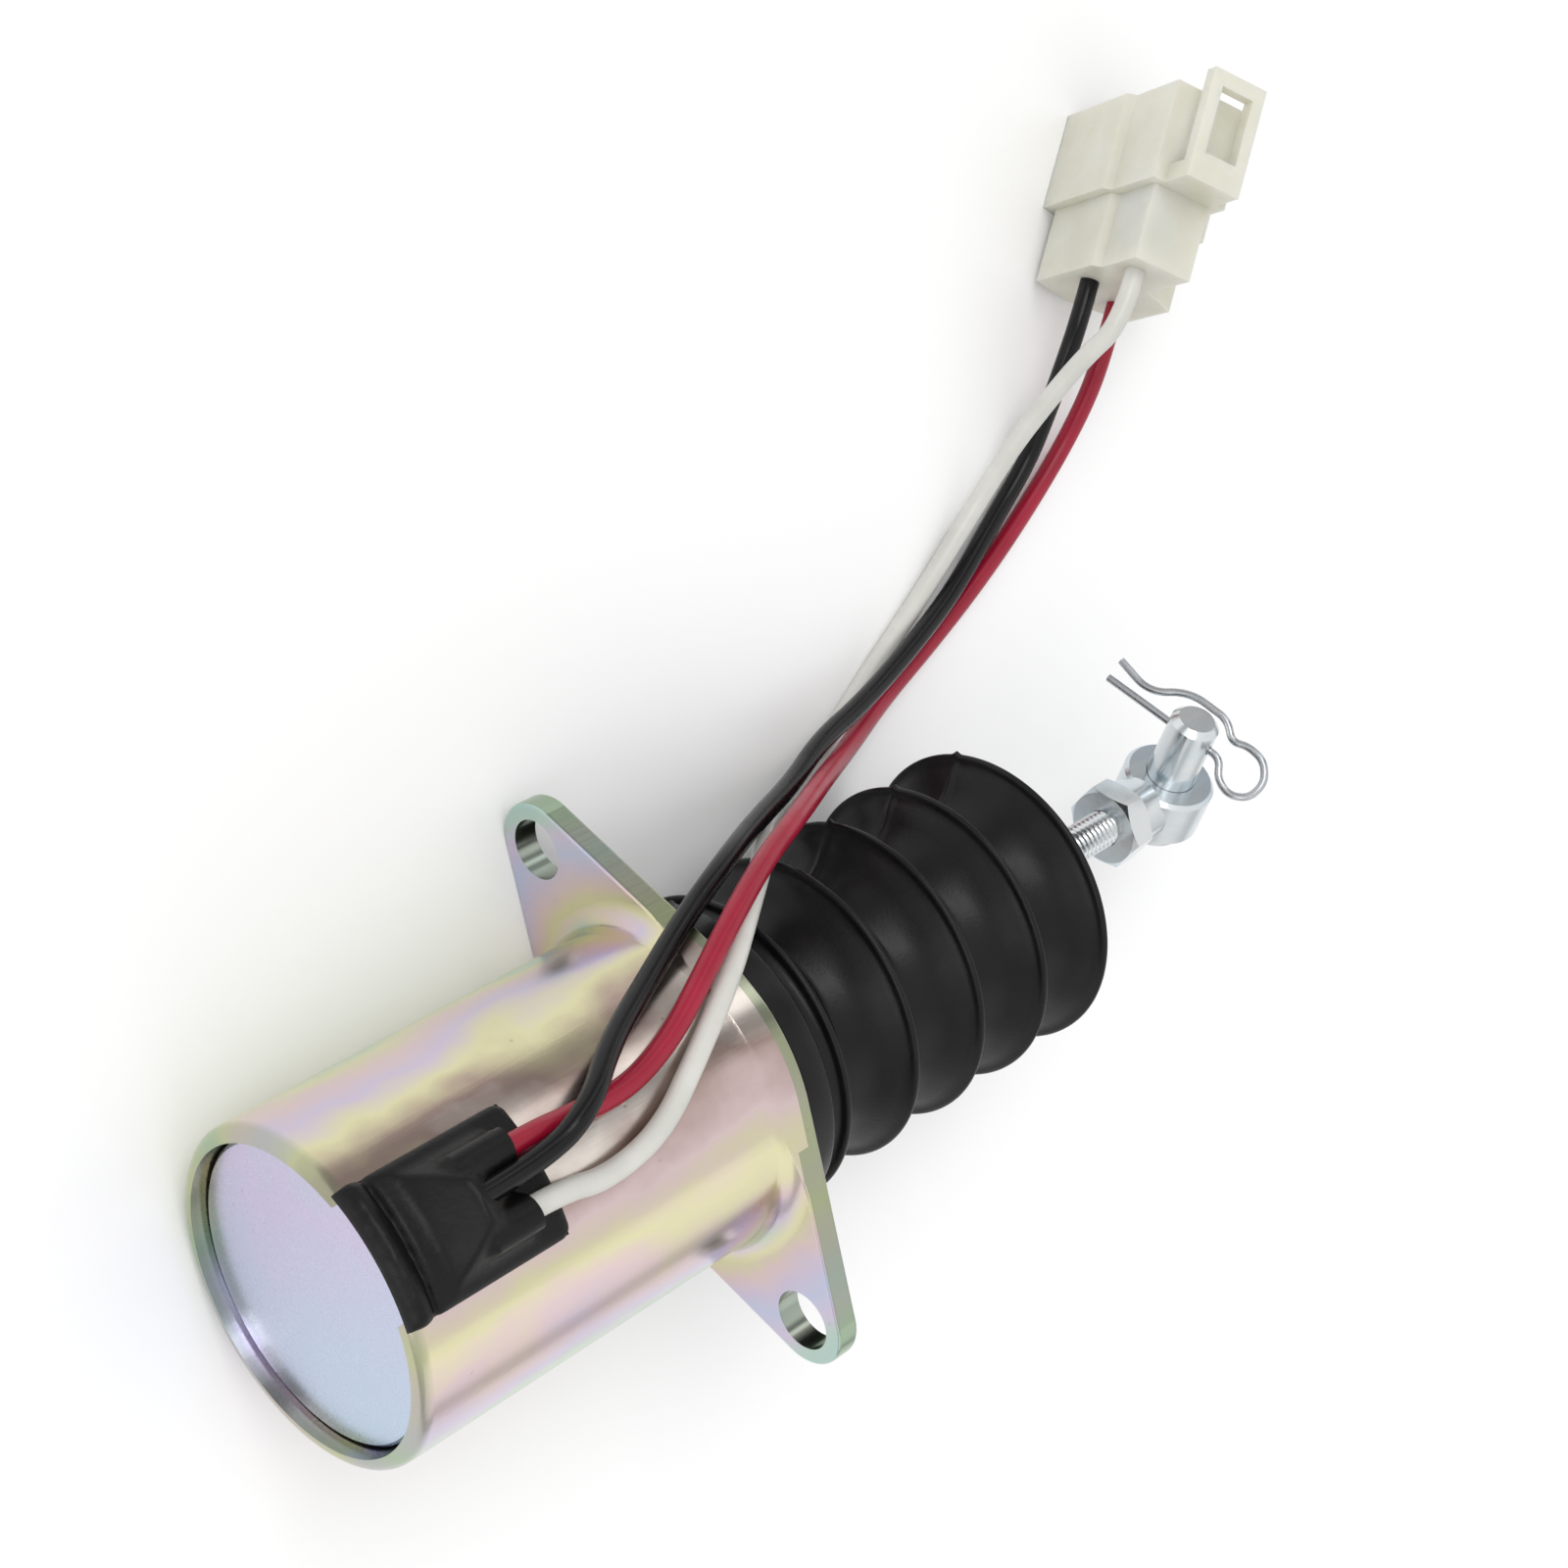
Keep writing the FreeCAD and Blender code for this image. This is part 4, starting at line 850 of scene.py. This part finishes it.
@dataclass
class Gland:
    """The wire gland: a soft saddle with a rolled end, a peaked boss and three sleeves.

    A bulge is a height, a place and a width, and a slant is a place and a slope. Each sleeve
    has its wire's place across the can, its wire's height and its own end along the can.
    """

    start: float = -54.3
    end: float = -33.8
    half_deg: float = 22.5
    roll_deg: float = 27.672
    foot: float = 19.1
    top: float = 20.4
    corner: float = 1.5
    edge_drop: float = 1.15
    edge_soft: float = 0.32
    edge_fall: float = 2.0
    bead: Bulge = (0.55, 1.35, 0.95)
    crease: Bulge = (-0.65, 3.15, 0.42)
    ragged: float = 0.12
    ragged_waves: Span = (2.1, 0.9)
    ragged_phase: float = 1.0
    ragged_reach: float = 1.2
    ridge: float = 25.35
    cap: float = 25.2
    front: Slant = (-44.6, 0.78)
    front_bow: float = 0.10
    front_wave: float = 0.9
    back: Slant = (-44.7, 1.32)
    flank: Slant = (1.8, 1.18)
    blend: float = 0.3
    fillet: float = 0.9
    margin: float = 0.4
    sleeve_radius: float = 1.95
    sleeve_flank: float = 2.4
    sleeve_end: float = 5.0
    sleeve_back: Slant = (-44.5, 2.0)
    sleeves: tuple[Place, ...] = ((0.4, 22.9, -44.2), (3.3, 21.9, -37.9), (-3.3, 21.9, -38.8))
    counts: tuple[int, int] = (110, 96)
    rim_steps: tuple[float, ...] = (0.0, 0.12, 0.28, 0.5)
    rim_width: float = 0.9
    sharp_deg: float = 50.0

    def sleeve(self, x: Array, t: Array, across: float, height: float, end: float) -> Array:
        """A half-round sleeve over one wire, with a steep end.

        The top is the wire's height plus the root of the sleeve's radius squared less the
        distance across squared. Beyond the radius it falls at the flank's slope, and past its
        end and its back at slopes of their own.

        Args:
            x: Place along the can.
            t: Angle from the gland's middle, in radians.
            across: Where the wire is across the can.
            height: How high the wire is over the axis.
            end: Where the sleeve ends along the can.

        Returns:
            The radius at each place.
        """
        off = np.abs(-height * np.tan(t) - across)
        inside = np.sqrt(np.maximum(self.sleeve_radius ** 2 - off ** 2, 0.0))
        fall = self.sleeve_flank * np.maximum(off - self.sleeve_radius, 0.0)
        back, slope = self.sleeve_back
        past = self.sleeve_end * np.maximum(x - end, 0.0) + slope * np.maximum(back - x, 0.0)
        return (height + inside - fall - past) / np.cos(t)

    def saddle(self, x: Array, across: Array) -> tuple[Array, Array]:
        """The saddle under the boss.

        It is a slab with softly rounded edges and the two outer corners cut by a circle. The
        roll at the can's lip is a hump with a crease behind it, and the product of two sines
        makes the lip and the crease a little ragged.

        Args:
            x: Place along the can.
            across: Distance round the can from the gland's middle.

        Returns:
            The radius at each place, and the distance in from the slab's edge.
        """
        half = self.top * math.radians(self.half_deg)
        near_end = x - (self.end - self.corner)
        near_side = np.abs(across) - (half - self.corner)
        edge = np.minimum.reduce([x - self.start, self.end - x, half - np.abs(across)])
        round_off = self.corner - np.hypot(near_end, near_side)
        edge = np.where((near_end > 0.0) & (near_side > 0.0), round_off, edge)
        slab = (self.top - self.edge_drop * np.exp(-np.maximum(edge, 0.0) / self.edge_soft)
                + self.edge_fall * np.minimum(edge, 0.0))
        fine, coarse = self.ragged_waves
        ragged = (self.ragged * np.sin(across * fine)
                  * np.sin(across * coarse + self.ragged_phase))
        from_lip = x - self.start
        roll = hump(from_lip, *self.bead) + hump(from_lip, *self.crease) * (1.0 + ragged)
        return slab + roll + ragged * hump(from_lip, 1.0, 0.0, self.ragged_reach), edge

    def surface(self, x: Array, t: Array) -> Array:
        """Height of the rubber over the can, in millimetres from the axis.

        The boss is the lower of four slanting planes, joined to the sleeves by a soft maximum
        and to the saddle by the square root of a square plus a small square.

        Args:
            x: Place along the can.
            t: Angle from the gland's middle, in radians.

        Returns:
            The radius at each place.
        """
        across = self.top * t
        slab, edge = self.saddle(x, across)
        bow = self.front_bow * np.cos(across * self.front_wave)
        front = self.ridge - (x - self.front[0]) * (self.front[1] + bow)
        back = self.ridge + (x - self.back[0]) * self.back[1]
        flank = self.ridge - (np.abs(across) - self.flank[0]) * self.flank[1]
        planes = np.stack([front, back, flank, np.full_like(x, self.cap)])
        boss = -self.blend * np.log(np.sum(np.exp(-planes / self.blend), axis=0))
        for sleeve in self.sleeves:
            shape = self.sleeve(x, t, *sleeve)
            boss = self.blend * np.logaddexp(boss / self.blend, shape / self.blend)
        gap = boss - slab
        rise = 0.5 * (gap + np.sqrt(gap ** 2 + self.fillet ** 2))
        return slab + rise * np.clip(edge / self.margin, 0.0, 1.0)

    def spaced(self, low: float, high: float, count: int) -> Array:
        """Even places with a few more close to each end.

        Args:
            low: The first place.
            high: The last place.
            count: How many even places there are.

        Returns:
            The places, in order.
        """
        inside = np.linspace(low + self.rim_width, high - self.rim_width, count)
        rim = np.array(self.rim_steps)
        return np.concatenate([low + rim, inside, (high - rim)[::-1]])

    def build(self) -> Piece:
        """Builds the gland as one closed skin: the surface, a foot under it and a wall.

        Returns:
            The new piece.
        """
        half = math.radians(self.half_deg) * self.top
        xs = self.spaced(self.start, self.end, self.counts[0])
        ts = self.spaced(-half, half, self.counts[1]) / self.top
        x, t = np.meshgrid(xs, ts, indexing="ij")
        skin = self.surface(x, t)
        turn = t + math.radians(90.0 - self.roll_deg)
        upper = around(x, skin, turn)
        lower = around(x, np.full_like(skin, self.foot), turn)
        rows, columns = x.shape
        count = rows * columns
        index = np.arange(count).reshape(rows, columns)
        top = np.stack([index[:-1, :-1], index[1:, :-1], index[1:, 1:], index[:-1, 1:]], -1)
        under = top.reshape(-1, 4)[:, ::-1] + count
        loop = np.concatenate([index[0, :], index[1:, -1], index[-1, -2::-1], index[-2:0:-1, 0]])
        after = np.roll(loop, -1)
        wall = np.stack([loop, after, after + count, loop + count], -1)
        faces = np.vstack([top.reshape(-1, 4), under, wall])
        points = np.vstack([upper.reshape(-1, 3), lower.reshape(-1, 3)])
        piece = mesh_from_faces("gland_skin", points * MM, faces, self.sharp_deg)
        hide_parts("gland")
        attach(piece, "can_assembly")
        paint(piece, GLAND_RUBBER)
        return piece


@dataclass
class ThreadedRod:
    """The plunger rod with its fine rolled thread."""

    start: float = 9.5
    end: float = 80.6
    thread_from: float = 52.0
    radius: float = 2.4
    tip_radius: float = 0.02
    pitch: float = 0.794
    depth: float = 0.40
    flank: float = 1.25
    flat: float = 0.12
    run_in: float = 1.2
    shoulder: float = 0.5
    rings: float = 7.0
    sides: int = 40
    sharp_deg: float = 40.0

    def build(self) -> Piece:
        """Builds the rod.

        On the thread the radius is the crest less the depth times how far the place is from the
        crest line x = pitch * t / 2 pi: a triangle wave, cut flat at the crest and the root.

        Returns:
            The new piece.
        """
        x = np.concatenate([np.array([self.start, self.start, self.thread_from - self.shoulder]),
                            np.arange(self.thread_from, self.end, self.pitch / self.rings),
                            np.array([self.end, self.end])])
        turn = np.linspace(0.0, 2 * np.pi, self.sides, endpoint=False)
        xx, tt = np.meshgrid(x, turn, indexing="ij")
        wave = np.abs(((xx / self.pitch - tt / (2 * np.pi)) % 1.0) * 2.0 - 1.0)
        shape = np.clip((1.0 - wave) * self.flank - self.flat, 0.0, 1.0)
        fade = np.clip((xx - self.thread_from) / self.run_in, 0.0, 1.0)
        radius = self.radius - self.depth * shape * fade
        radius[[0, -1], :] = self.tip_radius
        radius[-2, :] = self.radius - self.depth
        grid = around(xx, radius, tt) * MM
        piece = mesh_from_grid("rod_thread", grid, False, self.sharp_deg)
        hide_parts("plunger_rod")
        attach(piece, "plunger_assembly")
        paint(piece, BRIGHT_ZINC)
        return piece


@dataclass
class ReturnSpring:
    """The coil spring behind the plunger, built at one length; the real spring shortens as the
    plunger goes in.
    """

    start: float = -44.235
    length: float = 44.47
    mean_radius: float = 2.9
    wire: float = 0.45
    turns: float = 9.5
    steps_per_turn: int = 28
    sides: int = 8
    sharp_deg: float = 60.0

    def build(self) -> Piece:
        """Builds the spring: a tube round a helix, (x, R cos t, R sin t) with x growing with t.

        Returns:
            The new piece.
        """
        t = np.linspace(0.0, 2 * np.pi * self.turns, int(self.turns * self.steps_per_turn))
        path = around(self.start + self.length * t / t[-1], np.full(len(t), self.mean_radius), t)
        grid = tube_grid(path, self.wire, self.sides) * MM
        piece = mesh_from_grid("spring_coil", grid, False, self.sharp_deg)
        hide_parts("return_spring")
        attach(piece, "can_assembly")
        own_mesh(piece)
        paint(piece, SPRING_STEEL)
        return piece


@dataclass
class Lead:
    """The three wires, each a smooth curve from the gland to the plug."""

    diameter: float = 2.5
    order: int = 3
    per_run: int = 10
    roundness: int = 6
    lengths: dict[Side, float] = field(default_factory=lambda: {
        Side.BLACK: 0.1721, Side.RED: 0.1725, Side.WHITE: 0.1747})
    routes: dict[Side, tuple[Place, ...]] = field(default_factory=lambda: {
        Side.BLACK: (
            (-0.0446, 0.01104, 0.02018), (-0.0345, 0.01104, 0.02018), (-0.0286, 0.0137, 0.0205),
            (-0.0215, 0.0162, 0.016), (-0.0125, 0.018, 0.012), (-0.0025, 0.0205, 0.008),
            (0.007, 0.0229, 0.0052), (0.0173, 0.0227, -0.0006), (0.029, 0.0224, -0.0062),
            (0.0383, 0.0239, -0.0102), (0.0483, 0.0247, -0.0126), (0.0598, 0.0272, -0.0149),
            (0.0713, 0.031, -0.0166), (0.0826, 0.0372, -0.01795), (0.0896, 0.0425, -0.0172),
            (0.0922, 0.0485, -0.0146), (0.0934, 0.0542, -0.0116), (0.09519, 0.05952, -0.00938),
            (0.09854, 0.06388, -0.00938)),
        Side.RED: (
            (-0.0408, 0.01296, 0.01804), (-0.0348, 0.01296, 0.01804), (-0.029, 0.0118, 0.0169),
            (-0.0215, 0.0115, 0.0173), (-0.014, 0.0135, 0.0163), (-0.007, 0.0167, 0.0145),
            (0.001, 0.0204, 0.0123), (0.0103, 0.0224, 0.0082), (0.0205, 0.0229, 0.0034),
            (0.032, 0.0217, -0.0044), (0.0446, 0.0207, -0.0122), (0.056, 0.0224, -0.0168),
            (0.0675, 0.026, -0.01795), (0.079, 0.0312, -0.01795), (0.0895, 0.037, -0.01795),
            (0.0972, 0.043, -0.0169), (0.0998, 0.049, -0.0136), (0.10087, 0.05454, -0.01081),
            (0.10452, 0.0593, -0.01081)),
        Side.WHITE: (
            (-0.0408, 0.00747, 0.02092), (-0.0348, 0.00747, 0.02092), (-0.0286, 0.0054, 0.02),
            (-0.0205, 0.0067, 0.0199), (-0.0125, 0.011, 0.0179), (-0.003, 0.0156, 0.0146),
            (0.0055, 0.0188, 0.0096), (0.0145, 0.0205, 0.0033), (0.024, 0.0193, -0.0072),
            (0.0345, 0.018, -0.0132), (0.046, 0.0206, -0.0172), (0.0565, 0.0262, -0.01795),
            (0.0665, 0.0317, -0.01795), (0.077, 0.0392, -0.017), (0.0826, 0.046, -0.0136),
            (0.0854, 0.0513, -0.0089), (0.0888, 0.0566, -0.0039), (0.09231, 0.05984, -0.00018),
            (0.09657, 0.06539, -0.00018)),
    })

    def wire(self, side: Side, carried: list[Piece]) -> Piece:
        """Builds one wire as a NURBS curve with a round bevel.

        Args:
            side: Which wire.
            carried: Pieces on its far end. Not used.

        Returns:
            The new piece.
        """
        curve = bpy.data.curves.new(f"lead_{side.value}", "CURVE")
        curve.dimensions = "3D"
        spline = curve.splines.new("NURBS")
        route = self.routes[side]
        spline.points.add(len(route) - 1)
        # A curve's box grows by its points' radius, so they carry the wire's and the bevel is 1.
        for point, place in zip(spline.points, route):
            point.co = (*place, 1.0)
            point.radius = self.diameter * MM / 2
        spline.order_u = self.order
        spline.use_endpoint_u = True
        spline.resolution_u = self.per_run
        curve.bevel_depth = 1.0
        curve.bevel_resolution = self.roundness
        curve.use_fill_caps = True
        piece = bpy.data.objects.new(f"lead_{side.value}", curve)
        bpy.context.scene.collection.objects.link(piece)
        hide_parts(f"wire_{side.value}")
        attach(piece, "can_assembly")
        paint(piece, WIRE_SKIN[side])
        return piece

    def build(self, nodes: dict[str, Piece]) -> list[Piece]:
        """Builds all three wires, which end at the plug."""
        plug = nodes["connector_housing"]
        return [self.wire(side, [plug, nodes[f"terminal_{side.value}"]]) for side in Side]


# Studio

@dataclass(frozen=True)
class Lamp:
    """A soft rectangular lamp, in metres and watts."""

    name: str
    place: Place
    aim: Place
    size: Span
    power: float

    def build(self) -> None:
        """Adds the lamp, turned to its aim."""
        data = bpy.data.lights.new(self.name, "AREA")
        data.shape = "RECTANGLE"
        data.size, data.size_y = self.size
        data.energy = self.power
        lamp = bpy.data.objects.new(self.name, data)
        way = Vector(self.aim) - Vector(self.place)
        turn = way.to_track_quat("-Z", "Y").to_matrix().to_4x4()
        lamp.matrix_world = Matrix.Translation(self.place) @ turn
        bpy.context.scene.collection.objects.link(lamp)


@dataclass
class Studio:
    """Floor, surround, lamps and camera."""

    floor_z: float = -0.0192
    floor_reach: float = 20.0
    camera_place: Place = (-0.18122, 0.12806, 0.23151)
    camera_right: Place = (0.6924, -0.1942, 0.6949)
    camera_up: Place = (0.3576, 0.9288, -0.0967)
    lens: float = 66.507
    sensor: float = 36.0
    nearest: float = 0.01
    surround: float = 1.9
    bands: Line = (
        (0.0, 0.30), (14.0, 0.22), (25.0, 0.26), (33.0, 0.85), (41.0, 0.80), (47.0, 0.14),
        (57.0, 0.16), (70.0, 0.55), (110.0, 0.50), (150.0, 0.42), (180.0, 0.30))
    lamps: tuple[Lamp, ...] = (
        Lamp("key_panel", (-0.25, 0.55, 0.75), (0.02, 0.02, 0.0), (0.7, 0.35), 2.9),
        Lamp("side_panel", (0.1, -0.75, 0.45), (0.02, 0.0, 0.0), (1.2, 0.6), 0.8),
        Lamp("end_panel", (-0.8, -0.05, 0.25), (-0.05, 0.0, 0.0), (0.4, 0.5), 0.9))

    def floor(self) -> None:
        """Lays a wide pale floor."""
        reach = self.floor_reach
        corners = ((-reach, -reach), (reach, -reach), (reach, reach), (-reach, reach))
        points = np.array([(x, y, self.floor_z) for x, y in corners])
        piece = mesh_from_faces("studio_floor", points, np.array([[0, 1, 2, 3]]))
        paint(piece, FLOOR_PAINT)

    def sky(self) -> None:
        """A surround that changes with the angle about X, so it lies along the can in bands."""
        world = bpy.data.worlds.new("studio_surround")
        bpy.context.scene.world = world
        world.use_nodes = True
        nodes = Nodes(world.node_tree)
        split = nodes.parts(nodes.add("ShaderNodeTexCoord").outputs["Generated"])
        angle = nodes.math("ARCTAN2", split["Z"], split["Y"])
        share = nodes.math("DIVIDE", angle, math.pi)
        greys = tuple((level / 180.0, (value, value, value)) for level, value in self.bands)
        backdrop = world.node_tree.nodes["Background"]
        nodes.join(nodes.ramp(greys, share), backdrop.inputs["Color"])
        backdrop.inputs["Strength"].default_value = self.surround

    def camera(self) -> None:
        """Sets the camera where the photograph was taken from."""
        data = bpy.data.cameras.new("camera")
        data.lens = self.lens
        data.sensor_width = self.sensor
        data.clip_start = self.nearest
        right, up = Vector(self.camera_right), Vector(self.camera_up)
        right.normalize()
        up = (up - right * up.dot(right)).normalized()
        camera = bpy.data.objects.new("camera", data)
        turn = Matrix((right, up, right.cross(up))).transposed().to_4x4()
        camera.matrix_world = Matrix.Translation(self.camera_place) @ turn
        bpy.context.scene.collection.objects.link(camera)
        bpy.context.scene.camera = camera

    def build(self) -> None:
        """Sets up the whole studio, shown without any tone curve."""
        self.floor()
        self.sky()
        for lamp in self.lamps:
            lamp.build()
        self.camera()
        view = bpy.context.scene.view_settings
        view.view_transform = "Standard"
        view.look = "None"
        view.exposure = 0.0


def main() -> None:
    logging.basicConfig(level=logging.INFO, format="%(name)s: %(message)s")
    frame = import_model()
    nodes = frame["nodes"]
    for solids in (CAN, COIL, ROD_FITTINGS, PLUG):
        solids.dress(nodes)
    for part in (Boot(), Gland(), ThreadedRod(), ReturnSpring()):
        piece = part.build()
        LOG.info("built %s: %d faces", piece.name, len(piece.data.polygons))
    for piece in Lead().build(nodes):
        LOG.info("built %s", piece.name)
    Studio().build()


if __name__ == "__main__":
    main()
